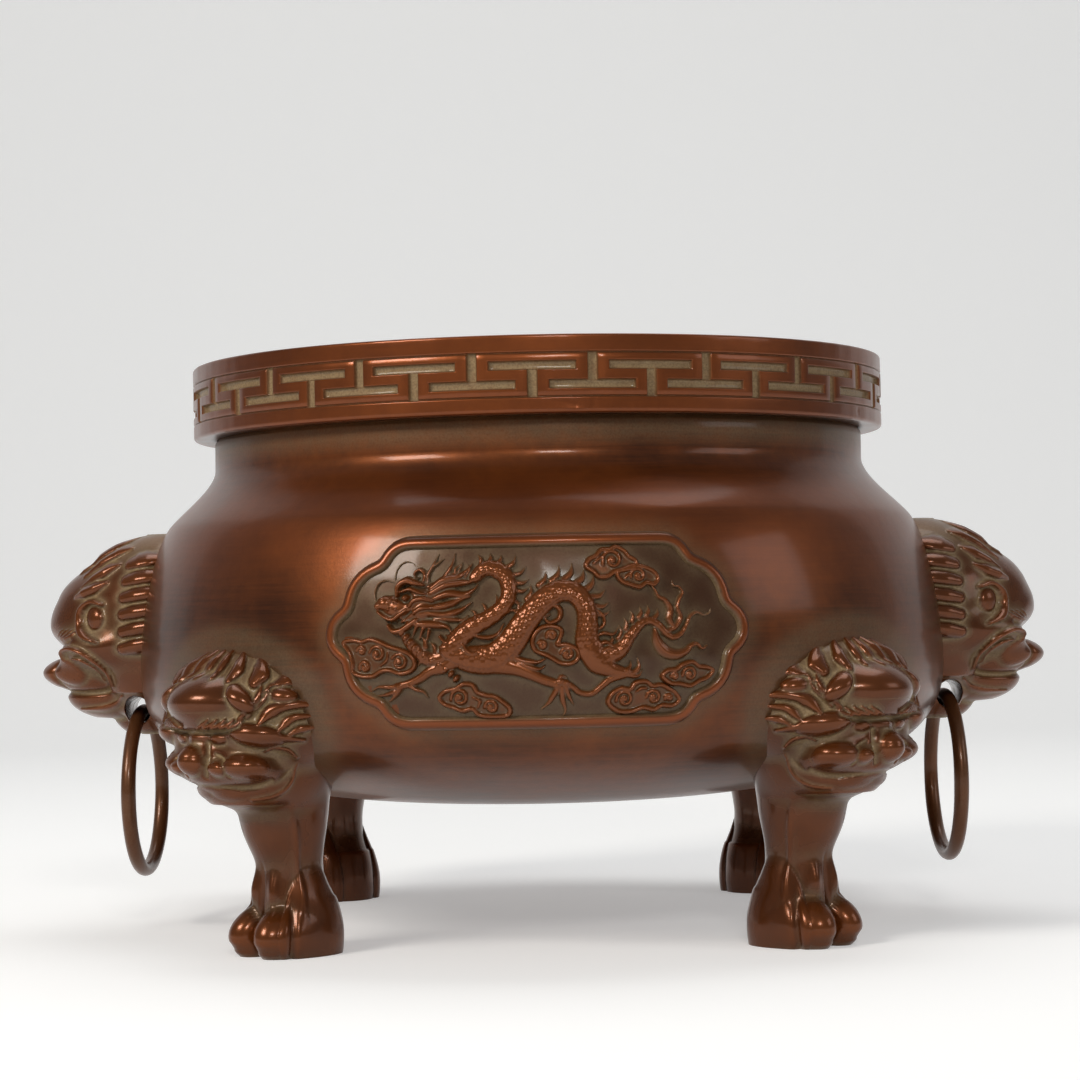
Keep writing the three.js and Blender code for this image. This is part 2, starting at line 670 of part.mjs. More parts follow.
// The bowl: outer and inner outline, pockets for the two panels, holes for the rivets
function bowlSolid() {
  const outer = offsetOutline(0);
  const inner = offsetOutline(-bowlWall, innerSteps).reverse();
  const profile = [
    ...outer,
    [ledgeRadius, bandSeatHeight],
    [neckRadius, bandSeatHeight],
    [neckRadius, rimHeight],
    [neckBore + lipChamfer, rimHeight],
    [neckBore, rimHeight - lipChamfer],
    [neckBore, neckFootHeight],
    ...inner.slice(1),
  ];
  const pocketBack = bowlForm(-panelPocketDepth);
  const pocket = bowlForm(2).subtract(pocketBack).intersect(panelPrism(fitGap));
  const backPocket = solidOf(geometryOf(pocket).rotateZ(Math.PI));
  const legHoles = [1, 3, 5, 7].map((step) => rivetHole(legRivetHeight).rotateZ(step * legAngle * degree));
  const lugHoles = [0, 1].map((side) => rivetHole(lugRivetHeight).rotateZ(side * Math.PI));
  const holes = joined([...legHoles, ...lugHoles].map(solidOf));
  return solidOf(turned(profile)).subtract(pocket).subtract(backPocket).subtract(holes);
}

// The collar band with its fret: upright and hanging T grooves in turn, half a repeat apart
function fretGroove(hanging) {
  const direction = hanging ? 1 : -1;
  const bar = direction * fretBarOffset;
  const stemEnd = -direction * (fretHeight / 2);
  const halfBar = fretBarLength / 2;
  const halfStem = fretStemWidth / 2;
  const barNear = bar - (direction * fretBarWidth) / 2;
  const barFar = bar + (direction * fretBarWidth) / 2;
  const shape = new THREE.Shape([
    new THREE.Vector2(-halfBar, barFar),
    new THREE.Vector2(halfBar, barFar),
    new THREE.Vector2(halfBar, barNear),
    new THREE.Vector2(halfStem, barNear),
    new THREE.Vector2(halfStem, stemEnd),
    new THREE.Vector2(-halfStem, stemEnd),
    new THREE.Vector2(-halfStem, barNear),
    new THREE.Vector2(-halfBar, barNear),
  ]);
  const groove = new THREE.ExtrudeGeometry(shape, { depth: cutMargin, bevelEnabled: false });
  return groove.rotateX(Math.PI / 2).translate(0, -bandRadius + cutMargin / 2, fretMiddle);
}

function bandSolid() {
  const bottom = bandSeatHeight + fitGap;
  const profile = [
    [bandBore, bottom],
    [bandRadius - bandChamfer, bottom],
    [bandRadius, bottom + bandChamfer],
    [bandRadius, rimHeight - bandChamfer],
    [bandRadius - bandChamfer, rimHeight],
    [bandBore, rimHeight],
    [bandBore, bottom],
  ];
  const floorRadius = bandRadius - fretDepth;
  const floor = [
    [0, bandSeatHeight],
    [floorRadius, bandSeatHeight],
    [floorRadius, rimHeight],
    [0, rimHeight],
  ];
  const grooves = [];
  for (let repeat = 0; repeat < fretRepeats; repeat += 1) {
    const angle = (repeat / fretRepeats) * 2 * Math.PI;
    grooves.push(solidOf(fretGroove(true).rotateZ(angle)));
    grooves.push(solidOf(fretGroove(false).rotateZ(angle + Math.PI / fretRepeats)));
  }
  return solidOf(turned(profile)).subtract(joined(grooves).subtract(solidOf(turned(floor))));
}

// Finishes
const finishes = {
  body: { color: 0x6b3a1e, roughness: 0.42, metalness: 0.75 },
  band: { color: 0x74401f, roughness: 0.4, metalness: 0.75 },
  ground: { color: 0x5c4a34, roughness: 0.55, metalness: 0.6 },
  relief: { color: 0x7c3f22, roughness: 0.4, metalness: 0.75 },
  mask: { color: 0x6f3a22, roughness: 0.38, metalness: 0.75 },
  ring: { color: 0x5a3222, roughness: 0.4, metalness: 0.8 },
  rivet: { color: 0x5f4a30, roughness: 0.5, metalness: 0.8 },
};

function meshOf(name, geometry, finish) {
  const mesh = new THREE.Mesh(geometry, new THREE.MeshStandardMaterial(finishes[finish]));
  mesh.name = name;
  return mesh;
}

function panelGroup(side, pieces) {
  const group = new THREE.Group();
  const finishOf = { panel_ground: "ground", panel_moulding: "body" };
  for (const [name, geometry] of Object.entries(pieces)) {
    group.add(meshOf(`${side}_${name}`, geometry, finishOf[name] ?? "relief"));
  }
  group.rotation.z = side === "front" ? 0 : Math.PI;
  return group;
}

function legGroup(place, turns, leg, rivet) {
  const group = new THREE.Group();
  group.add(meshOf(`lion_leg_${place}`, leg, "mask"));
  group.add(meshOf(`leg_rivet_${place}`, rivet, "rivet"));
  group.rotation.z = turns * legAngle * degree;
  return group;
}

function lugGroup(place, side, lug, rivet) {
  const group = new THREE.Group();
  group.add(meshOf(`lion_lug_${place}`, lug, "mask"));
  group.add(meshOf(`lug_rivet_${place}`, rivet, "rivet"));
  const torus = new THREE.TorusGeometry(ringRadius, ringWire / 2, wireFacets, ringFacets);
  const ring = meshOf(`ring_${place}`, torus.rotateY(Math.PI / 2).translate(0, 0, -ringRadius), "ring");
  ring.position.set(lugEyeRadius, 0, lugEyeHeight - ringDrop);
  ring.rotation.z = side * ringTwist * degree;
  group.add(ring);
  group.rotation.z = side > 0 ? 0 : Math.PI;
  return group;
}

const burner = new THREE.Group();
burner.add(meshOf("bowl", geometryOf(bowlSolid()), "body"));
burner.add(meshOf("rim_band", geometryOf(bandSolid()), "band"));
const panel = panelSolids();
burner.add(panelGroup("front", panel));
burner.add(panelGroup("back", panel));
const leg = geometryOf(legSolid());
const legRivet = rivetGeometry(legRivetHeight);
burner.add(legGroup("front_right", -1, leg, legRivet));
burner.add(legGroup("front_left", -3, leg, legRivet));
burner.add(legGroup("back_right", 1, leg, legRivet));
burner.add(legGroup("back_left", 3, leg, legRivet));
const lug = geometryOf(lugSolid());
const lugRivet = rivetGeometry(lugRivetHeight);
burner.add(lugGroup("right", 1, lug, lugRivet));
burner.add(lugGroup("left", -1, lug, lugRivet));

export default burner;
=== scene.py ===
import math
import bmesh
import bpy
import numpy as np
from bpy.props import FloatProperty, FloatVectorProperty, IntProperty, PointerProperty
from mathutils import Matrix, Vector


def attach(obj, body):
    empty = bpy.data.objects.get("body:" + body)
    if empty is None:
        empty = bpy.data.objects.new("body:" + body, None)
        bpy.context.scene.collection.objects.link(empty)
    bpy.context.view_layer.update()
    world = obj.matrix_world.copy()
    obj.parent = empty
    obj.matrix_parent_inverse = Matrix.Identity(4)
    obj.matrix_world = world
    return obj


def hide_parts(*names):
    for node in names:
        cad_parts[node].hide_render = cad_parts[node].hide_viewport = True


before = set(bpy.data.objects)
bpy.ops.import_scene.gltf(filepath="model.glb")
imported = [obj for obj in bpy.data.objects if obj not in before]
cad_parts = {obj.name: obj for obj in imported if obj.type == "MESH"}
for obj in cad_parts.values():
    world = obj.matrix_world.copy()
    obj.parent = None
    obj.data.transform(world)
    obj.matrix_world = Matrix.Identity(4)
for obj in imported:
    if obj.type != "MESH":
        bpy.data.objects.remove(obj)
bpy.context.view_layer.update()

bl_info = {
    "name": "Lion-Leg Incense Burner",
    "version": (1, 0, 0),
    "blender": (4, 5, 0),
    "location": "View3D > Sidebar > Burner",
    "description": "Builds a cast bronze incense burner with lion legs, ring lugs and dragon panels",
    "category": "Add Mesh",
}

# Sizes of the burner in millimetres; meshes are written in metres
MM = 0.001
RIM_TOP = 112.8
NECK_BORE = 61.8
NECK_RADIUS = 65.2
NECK_FOOT = 92.5
LEDGE_RADIUS = 65.8
SHOULDER = (75.0, 81.2)
BELLY = (81.5, 56.0)
UNDERSIDE = 25.2
WALL = 3.2
BAND_RADIUS = 70.0
BAND_BOTTOM = 98.5
PANEL_Z = 59.6
EYE_RADIUS = 81.9
EYE_HEIGHT = 44.0
RING_RADIUS = 16.1
RING_WIRE = 1.45
RING_TWIST = 3.2
# The collar's fret: its foot and height, degrees to a repeat, half sizes of a T's bar and stem
FRET_LOW = 101.5
FRET_TALL = 8.0
FRET_TURN = 18
FRET_COUNT = 20
BAR_HALF = 7.95
BAR_LEVEL = 1.72
BAR_THICK = 0.8
STEM_HALF = 0.93
# The masks: millimetres of carving to a radian, the lugs' upright axis, sharpness of the lobes' union
MASK_ARC = 16
LUG_AXIS = 80
MASK_POWER = 10
# Height of a relief map where nothing is carved, and the level below which it counts as empty
NOTHING = -9.0
EMPTY = -5
# The legs and the degrees by which each is turned from the X axis
LEG_TURNS = (("front_right", -45), ("front_left", -135), ("back_right", 45), ("back_left", 135))


# ---------------------------------------------------------------- mesh helpers
def finish_mesh(name, points, faces, marks):
    """Writes whole arrays of points (millimetres) and four-sided faces into a mesh object at the origin.

    The faces are turned outwards by the sign of the volume, the sum over their triangles of
    a . (b x c); marks are values for each point.
    """
    corners = np.asarray(points, dtype=np.float64).reshape(-1, 3)
    a, b, c, d = (corners[faces[:, k]] for k in range(4))
    volume = np.einsum("ij,ij->", a, np.cross(b, c)) + np.einsum("ij,ij->", a, np.cross(c, d))
    if volume < 0:
        faces = faces[:, ::-1]
    mesh = bpy.data.meshes.new(name)
    mesh.vertices.add(len(corners))
    mesh.vertices.foreach_set("co", (corners * MM).astype(np.float32).ravel())
    mesh.loops.add(faces.size)
    mesh.loops.foreach_set("vertex_index", faces.astype(np.int32).ravel())
    mesh.polygons.add(len(faces))
    mesh.polygons.foreach_set("loop_start", 4 * np.arange(len(faces), dtype=np.int32))
    mesh.polygons.foreach_set("use_smooth", np.ones(len(faces), dtype=bool))
    for mark, values in marks.items():
        layer = mesh.attributes.new(mark, "FLOAT", "POINT")
        layer.data.foreach_set("value", np.asarray(values, dtype=np.float32).ravel())
    mesh.update(calc_edges=True)
    mesh.validate()
    made = bpy.data.objects.new(name, mesh)
    bpy.context.scene.collection.objects.link(made)
    return made


def grid_faces(rows, columns, around_rows, around_columns):
    """Index array of the four-sided faces of a grid, closed around in either direction."""
    index = np.arange(rows * columns).reshape(rows, columns)
    if around_rows:
        index = np.vstack([index, index[:1]])
    if around_columns:
        index = np.hstack([index, index[:, :1]])
    corners = [index[:-1, :-1], index[1:, :-1], index[1:, 1:], index[:-1, 1:]]
    return np.stack(corners, axis=-1).reshape(-1, 4)


def cubics(p, t):
    """Points of a Catmull-Rom curve at the places t: on each span between two points a cubic
    whose slope at a point is half the step between its neighbours."""
    k = np.minimum(t.astype(int), len(p) - 4)
    f = (t - k)[:, None]
    a, b, c, d = p[k], p[k + 1], p[k + 2], p[k + 3]
    return 0.5 * (2 * b + (c - a) * f + (2 * a - 5 * b + 4 * c - d) * f**2 + (3 * (b - c) + d - a) * f**3)


def spline(points, count):
    """Catmull-Rom curve through the points, with each end continued straight on."""
    p = np.asarray(points, dtype=np.float64)
    p = np.vstack([2 * p[0] - p[1], p, 2 * p[-1] - p[-2]])
    return cubics(p, np.linspace(0, len(p) - 3, count))


def closed_spline(points, count):
    """Catmull-Rom curve that runs once around the points and ends where it starts."""
    p = np.asarray(points, dtype=np.float64)
    at = np.linspace(0, len(p), count, endpoint=False)
    line = cubics(np.vstack([p[-1:], p, p[:2]]), at)
    return np.vstack([line, line[:1]])


def course(path):
    """A spline through a path's points, or the path itself where it has only two."""
    path = np.asarray(path, dtype=np.float64)
    return spline(path, 4 * len(path)) if len(path) > 2 else path


def bell(value, middle, width):
    """Soft hump of height 1: exp(-((value - middle) / width)^2)."""
    return np.exp(-(((value - middle) / width) ** 2))


def ease(value, low, high):
    """Smooth step from 0 at low to 1 at high."""
    t = np.clip((value - low) / (high - low), 0, 1)
    return t * t * (3 - 2 * t)


def waves(x, y, z, seed, cell):
    """Gentle unevenness, mostly between -1 and 1: seven sines in seeded directions, summed."""
    rng = np.random.default_rng(seed)
    total = np.zeros(np.broadcast(x, y, z).shape)
    for _ in range(7):
        way = rng.normal(size=3)
        way *= 2 * math.pi / (cell * np.linalg.norm(way) * rng.uniform(0.7, 1.6))
        total += np.sin(way[0] * x + way[1] * y + way[2] * z + rng.uniform(0, 6.28))
    return total / 4


def blurred(grid, times=1):
    """Averages each point of a height map with its neighbours by weights 1, 2, 1."""
    for _ in range(times):
        g = np.pad(grid, 1, mode="edge")
        g = (g[:-2] + 2 * g[1:-1] + g[2:]) / 4
        grid = (g[:, :-2] + 2 * g[:, 1:-1] + g[:, 2:]) / 4
    return grid


# ---------------------------------------------------------------- relief maps
class Relief:
    """A height map over a flat patch, carved with strokes, mounds and grooves."""

    def __init__(self, low, high, step, level=NOTHING):
        x = np.arange(low[0], high[0] + step / 2, step)
        y = np.arange(low[1], high[1] + step / 2, step)
        self.step = step
        self.x, self.y = np.meshgrid(x, y, indexing="ij")
        self.height = np.full(self.x.shape, level)

    def window(self, points, reach):
        """The slice of the map within reach of the points."""
        low = points.min(axis=0) - reach
        high = points.max(axis=0) + reach
        first = np.array([self.x[0, 0], self.y[0, 0]])
        start = np.maximum(np.floor((low - first) / self.step).astype(int), 0)
        stop = np.ceil((high - first) / self.step).astype(int) + 1
        return slice(start[0], max(stop[0], start[0])), slice(start[1], max(stop[1], start[1]))

    def follow(self, points, reach):
        """For each point near a line: its distance along the line, from it, and its share.

        The nearest of all the line's straight pieces is kept; left of the line is positive.
        """
        part = self.window(points, reach)
        x, y = self.x[part], self.y[part]
        best = np.full(x.shape, 1e9)
        along = np.zeros(x.shape)
        side = np.ones(x.shape)
        run = 0.0
        for a, b in zip(points[:-1], points[1:]):
            way = b - a
            length = float(np.hypot(*way))
            if length < 1e-9:
                continue
            px, py = x - a[0], y - a[1]
            t = np.clip((px * way[0] + py * way[1]) / length**2, 0, 1)
            gap = np.hypot(px - t * way[0], py - t * way[1])
            near = gap < best
            best = np.where(near, gap, best)
            along = np.where(near, run + t * length, along)
            side = np.where(near, np.sign(way[0] * py - way[1] * px), side)
            run += length
        return part, along, best * np.where(side == 0, 1, side), along / max(run, 1e-9)

    def stroke(self, path, widths, top, foot=0.0, power=0.5, detail=None, smooth=0.0):
        """Raises a rounded bar along a spline.

        Height = foot + top(share) * (1 - (distance / half width)^2)^power, and detail(along,
        distance / half width, height) may change it. The higher of bar and map stays.
        """
        part, along, off, share = self.follow(course(path), np.max(widths) / 2 + 0.4)
        width = np.interp(share, np.linspace(0, 1, len(widths)), widths) / 2
        rise = np.interp(share, np.linspace(0, 1, np.size(top)), np.atleast_1d(top))
        across = off / np.maximum(width, 1e-6)
        inside = np.clip(1 - across**2, 0, 1)
        height = foot + rise * inside**power
        if detail is not None:
            height = detail(along, across, height)
        self.raise_to(part, np.where(np.abs(across) < 1, height, NOTHING), smooth)

    def at(self, x, y, grid=None):
        """Reads a grid over the map between its points, by linear steps both ways."""
        grid = self.height if grid is None else grid
        u = np.clip((x - self.x[0, 0]) / self.step, 0, grid.shape[0] - 1.001)
        v = np.clip((y - self.y[0, 0]) / self.step, 0, grid.shape[1] - 1.001)
        i, j = u.astype(int), v.astype(int)
        f, g = u - i, v - j
        low = grid[i, j] * (1 - g) + grid[i, j + 1] * g
        high = grid[i + 1, j] * (1 - g) + grid[i + 1, j + 1] * g
        return low * (1 - f) + high * f

    def raise_to(self, part, height, smooth=0.0):
        """Keeps the higher of the map and a new height, with a soft seam where asked."""
        old = self.height[part]
        if smooth > 0:
            mix = np.clip(0.5 + 0.5 * (height - old) / smooth, 0, 1)
            both = old * (1 - mix) + height * mix + smooth * mix * (1 - mix)
            self.height[part] = np.where(height > EMPTY, np.maximum(both, old), old)
        else:
            self.height[part] = np.maximum(old, height)

    def mound(self, centre, radii, top, foot=0.0, turn=0.0, power=0.5, smooth=0.0):
        """Raises an oval dome: foot + top * (1 - r^2)^power, r over its turned half axes."""
        c = np.array(centre, dtype=np.float64)
        part = self.window(c[None], max(radii) + 0.2)
        x, y = self.x[part] - c[0], self.y[part] - c[1]
        ca, sa = math.cos(math.radians(turn)), math.sin(math.radians(turn))
        r2 = ((x * ca + y * sa) / radii[0]) ** 2 + ((y * ca - x * sa) / radii[1]) ** 2
        self.raise_to(part, np.where(r2 < 1, foot + top * np.clip(1 - r2, 0, 1) ** power, NOTHING), smooth)

    def groove(self, path, width, depth):
        """Cuts a soft groove along a spline: depth * exp(-(distance / width)^2)."""
        part, _, off, _ = self.follow(course(path), 2.5 * width)
        self.height[part] -= depth * bell(off, 0, width)

    def dimple(self, x, y, wide, tall, depth):
        """Sinks a soft oval: depth * exp(-((x - x0) / wide)^2 - ((y - y0) / tall)^2)."""
        self.height -= depth * np.exp(-(((self.x - x) / wide) ** 2) - ((self.y - y) / tall) ** 2)

    def plate(self, outline, top, edge):
        """Raises a flat plate inside a closed spline, rounded off within edge of its rim."""
        line = closed_spline(outline, 6 * len(outline))
        part, _, off, _ = self.follow(line, 0.5)
        gap = np.where(inside_outline(self.x[part], self.y[part], line), np.abs(off), -1.0)
        self.raise_to(part, np.where(gap > 0, top * np.clip(gap / edge, 0, 1) ** 0.5, NOTHING))


def inside_outline(x, y, line):
    """Even-odd test: counts the outline's edges that a ray towards +X crosses."""
    count = np.zeros(x.shape, dtype=int)
    for a, b in zip(line, np.roll(line, -1, axis=0)):
        if a[1] == b[1]:
            continue
        crosses = (y >= min(a[1], b[1])) & (y < max(a[1], b[1]))
        at = a[0] + (y - a[1]) * (b[0] - a[0]) / (b[1] - a[1])
        count += crosses & (at > x)
    return count % 2 == 1


def relief_shell(name, relief, place, keep, floor, marks):
    """Closed shell over the kept cells of a relief map.

    The top follows the height map, the bottom lies at the floor height, and upright faces
    close every cell edge that has a kept cell on one side only. place(x, y, height) gives
    the points in space.
    """
    rows, columns = relief.x.shape
    levels = (relief.height, np.full(relief.x.shape, floor))
    points = np.vstack([np.stack(place(relief.x, relief.y, level), -1).reshape(-1, 3) for level in levels])
    under = rows * columns
    index = np.arange(under).reshape(rows, columns)
    a, b = index[:-1, :-1], index[1:, :-1]
    c, d = index[1:, 1:], index[:-1, 1:]
    parts = [np.stack([a, b, c, d], -1)[keep], np.stack([a, d, c, b], -1)[keep] + under]
    padded = np.pad(keep, 1)
    for other, first, second in (
        (padded[1:-1, :-2], a, b),
        (padded[2:, 1:-1], b, c),
        (padded[1:-1, 2:], c, d),
        (padded[:-2, 1:-1], d, a),
    ):
        parts.append(np.stack([second, first, first + under, second + under], -1)[keep & ~other])
    faces = np.vstack(parts)
    used, compact = np.unique(faces, return_inverse=True)
    twice = {mark: np.tile(values.ravel(), 2)[used] for mark, values in marks.items()}
    return finish_mesh(name, points[used], compact.reshape(faces.shape), twice)


# ---------------------------------------------------------------- bowl outline
def bowl_profile(steps):
    """Radius and height of the bowl's outside from the middle of its underside upwards.

    The underside is a superellipse of power 3, (r/R)^3 + ((h0-h)/H)^3 = 1; the shoulder and
    the cove below the neck are cubic Bezier curves that share a tangent.
    """
    angle = np.linspace(0, math.pi / 2, steps, endpoint=False)
    drop = BELLY[1] - UNDERSIDE
    power = 2 / 3
    under = np.stack([BELLY[0] * np.sin(angle) ** power, BELLY[1] - drop * np.cos(angle) ** power], -1)
    end = np.array(SHOULDER)
    slope = np.array([0.648, -0.762])
    rise = SHOULDER[1] - BELLY[1]
    lifted = np.array([BELLY[0], BELLY[1] + 0.4 * rise])
    shoulder = bezier(np.array(BELLY), lifted, end + 4 * slope, end, steps // 2)
    foot = np.array([LEDGE_RADIUS, NECK_FOOT])
    cove = bezier(end, end - 4 * slope, foot - np.array([0, 3.6]), foot, steps // 3)
    return np.vstack([under, shoulder[:-1], cove])


def bezier(a, b, c, d, count):
    """Cubic Bezier curve from a to d with handles b and c."""
    t = np.linspace(0, 1, count)[:, None]
    return (1 - t) ** 3 * a + 3 * (1 - t) ** 2 * t * b + 3 * (1 - t) * t**2 * c + t**3 * d


OUTSIDE = bowl_profile(160)


def bowl_radius(height):
    """Radius of the bowl's outside at a height, read off its outline."""
    return np.interp(height, OUTSIDE[:, 1], OUTSIDE[:, 0])


def wall_inside(outline):
    """The inside of the wall: an outline moved inwards along its normals by the thickness."""
    step = np.gradient(outline, axis=0)
    normal = np.stack([step[:, 1], -step[:, 0]], -1)
    return outline - normal / np.linalg.norm(normal, axis=1)[:, None] * WALL


def turned(x, y, ca, sa):
    """Two coordinates turned by the angle whose cosine and sine are given."""
    return x * ca - y * sa, x * sa + y * ca


def on_panel(s, h, lift):
    """A point of the panel: arc length s over the belly's radius is the angle from the
    front, h is the height from the panel's middle, and lift stands off the bowl."""
    height = PANEL_Z + h
    radius = bowl_radius(height) + lift
    angle = s / BELLY[0]
    return radius * np.sin(angle), -radius * np.cos(angle), height


def on_back_panel(s, h, lift):
    """The same point on the panel at the back, half a turn round."""
    x, y, z = on_panel(s, h, lift)
    return -x, -y, z


# ---------------------------------------------------------------- bronze finishes
def node(tree, kind, inputs=(), **settings):
    """Adds a node with its settings; each input is linked to a socket or set to a value."""
    made = tree.nodes.new(kind)
    for key, value in settings.items():
        setattr(made, key, value)
    for key, value in dict(inputs).items():
        slot = made.inputs[key]
        if isinstance(value, bpy.types.NodeSocket):
            tree.links.new(value, slot)
        else:
            slot.default_value = (*value, 1.0) if slot.type == "RGBA" else value
    return made


def mixed(tree, factor, first, second):
    """Mixes two colours by a factor; each may be a socket or a plain value."""
    inputs = {0: factor, 6: first, 7: second}
    return node(tree, "ShaderNodeMix", inputs, data_type="RGBA", clamp_factor=True).outputs[2]


def computed(tree, operation, first, second):
    """Joins two values by an operation of the math node."""
    return node(tree, "ShaderNodeMath", {0: first, 1: second}, operation=operation).outputs[0]


def ranged(tree, source, low, high, to_low, to_high):
    """Maps a value from one range to another and clamps it."""
    inputs = {"Value": source, "From Min": low, "From Max": high, "To Min": to_low, "To Max": to_high}
    return node(tree, "ShaderNodeMapRange", inputs).outputs["Result"]


def noise(tree, coords, scale, detail, rough):
    """Noise of a scale on object coordinates."""
    inputs = {"Vector": coords, "Scale": scale, "Detail": detail, "Roughness": rough}
    return node(tree, "ShaderNodeTexNoise", inputs).outputs["Fac"]


def bronze(name, body, crest, dust, shade, rough, metal, streak=0.0):
    """Patinated bronze.

    Body colour clouded by two noises, level streaks where asked, rubbed crests warmed by the
    crest attribute, dust laid in hollows by the hollow attribute broken up with noise;
    roughness, metal and bump follow.
    """
    material = bpy.data.materials.new(name)
    material.use_nodes = True
    tree = material.node_tree
    tree.nodes.clear()
    coords = node(tree, "ShaderNodeTexCoord").outputs["Object"]
    hollow = node(tree, "ShaderNodeAttribute", attribute_name="hollow").outputs["Fac"]
    high = node(tree, "ShaderNodeAttribute", attribute_name="crest").outputs["Fac"]
    broad = noise(tree, coords, 38.0, 5.0, 0.6)
    fine = noise(tree, coords, 420.0, 6.0, 0.65)
    specks = noise(tree, coords, 2600.0, 3.0, 0.6)
    clouded = mixed(tree, ranged(tree, broad, 0.35, 0.68, 0.0, 1.0), shade, body)
    if streak > 0:
        level = node(tree, "ShaderNodeMapping", {"Vector": coords, "Scale": (1.0, 1.0, 26.0)})
        lines = noise(tree, level.outputs["Vector"], 60.0, 4.0, 0.7)
        clouded = mixed(tree, ranged(tree, lines, 0.38, 0.66, 0.0, streak), clouded, crest)
    mottled = mixed(tree, ranged(tree, fine, 0.42, 0.72, 0.0, 0.35), clouded, shade)
    warmed = mixed(tree, ranged(tree, high, 0.0, 1.0, 0.0, 0.85), mottled, crest)
    dusty = computed(tree, "MULTIPLY", hollow, ranged(tree, fine, 0.25, 0.62, 0.72, 1.0))
    dust_tone = mixed(tree, ranged(tree, specks, 0.4, 0.7, 0.0, 0.45), dust, shade)
    gloss = mixed(tree, ranged(tree, broad, 0.3, 0.7, 0.0, 1.0), (rough - 0.04,) * 3, (rough + 0.05,) * 3)
    grain = {"Strength": 0.35, "Distance": 0.00012, "Height": mixed(tree, 0.35, fine, specks)}
    inputs = {
        "Base Color": mixed(tree, dusty, warmed, dust_tone),
        "Roughness": mixed(tree, dusty, gloss, (0.62,) * 3),
        "Metallic": mixed(tree, dusty, (metal,) * 3, (0.1,) * 3),
        "Specular IOR Level": 0.22,
        "Coat Weight": 0.3,
        "Coat Roughness": 0.12,
        "Normal": node(tree, "ShaderNodeBump", grain).outputs[0],
    }
    shader = node(tree, "ShaderNodeBsdfPrincipled", inputs)
    node(tree, "ShaderNodeOutputMaterial", {0: shader.outputs[0]})
    return material


def linear(colour):
    """Linear values of a display colour given from 0 to 1."""
    c = np.asarray(colour, dtype=np.float64)
    return tuple(np.where(c <= 0.04045, c / 12.92, ((c + 0.055) / 1.055) ** 2.4).tolist())


def make_finishes():
    """The burner's finishes, made once from the colours of the settings."""
    looks = bpy.context.scene.burner_looks
    body, crest = linear(looks.body_colour), linear(looks.crest_colour)
    dust, shade = linear(looks.dust_colour), linear(looks.shade_colour)
    deep = tuple(0.5 * a + 0.5 * b for a, b in zip(body, shade))
    pale = tuple(1.8 * a for a in dust)
    rough = looks.roughness
    return {
        "body": bronze("bowl_bronze", body, crest, dust, shade, rough, 0.65, streak=0.35),
        "band": bronze("collar_bronze", body, crest, pale, shade, rough - 0.03, 0.65, streak=0.4),
        "ground": bronze("panel_ground_bronze", shade, body, dust, shade, rough - 0.04, 0.5),
        "relief": bronze("relief_bronze", deep, body, dust, shade, rough - 0.09, 0.5),
        "mask": bronze("lion_bronze", deep, body, pale, shade, rough - 0.09, 0.5),
        "ring": bronze("ring_bronze", deep, crest, dust, shade, rough - 0.06, 0.6),
        "rivet": bronze("rivet_bronze", shade, body, dust, shade, rough + 0.08, 0.6),
    }


FINISHES = {}


def dress(made, finish, slot, body, *nodes):
    """Gives a piece its finish, its body and the solids it stands for; the slot argument is not used."""
    if not FINISHES:
        FINISHES.update(make_finishes())
    made.data.materials.append(FINISHES[finish])
    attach(made, body)
    if nodes:
        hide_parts(*nodes)


# ---------------------------------------------------------------- settings
def tint(name, description, default):
    """A colour among the settings."""
    return FloatVectorProperty(
        name=name, description=description, subtype="COLOR", default=default, min=0, max=1,
    )


class BurnerLooks(bpy.types.PropertyGroup):
    body_colour: tint("Body colour", "Patinated brown of the bowl", (0.45, 0.235, 0.085))
    crest_colour: tint("Crest colour", "Reddish bronze where the relief is rubbed", (0.49, 0.245, 0.1))
    dust_colour: tint("Hollow colour", "Olive-grey patina in the hollows", (0.44, 0.37, 0.265))
    shade_colour: tint("Shade colour", "Dark brown clouding of the patina", (0.25, 0.135, 0.065))
    roughness: FloatProperty(
        name="Roughness", description="Roughness of the waxed bronze", default=0.34, min=0.1, max=0.9,
    )


class BurnerSizes(bpy.types.PropertyGroup):
    fret_depth: FloatProperty(
        name="Fret depth", description="Depth of the meander grooves in millimetres",
        default=0.85, min=0.1, max=0.9,
    )
    turn_steps: IntProperty(
        name="Turn steps", description="Faces around the bowl", default=320, min=96, max=512,
    )
    relief_step: FloatProperty(
        name="Relief step", description="Spacing of the relief's grid in millimetres",
        default=0.17, min=0.12, max=0.6,
    )


# ---------------------------------------------------------------- bowl and collar
def rounded_corner(before, corner, after, radius):
    """Quarter-like round between two straight edges: a quadratic curve of seven points."""
    before, corner, after = (np.array(v, dtype=np.float64) for v in (before, corner, after))
    start = corner + (before - corner) / np.linalg.norm(before - corner) * radius
    end = corner + (after - corner) / np.linalg.norm(after - corner) * radius
    t = np.linspace(0, 1, 7)[:, None]
    return (1 - t) ** 2 * start + 2 * t * (1 - t) * corner + t**2 * end


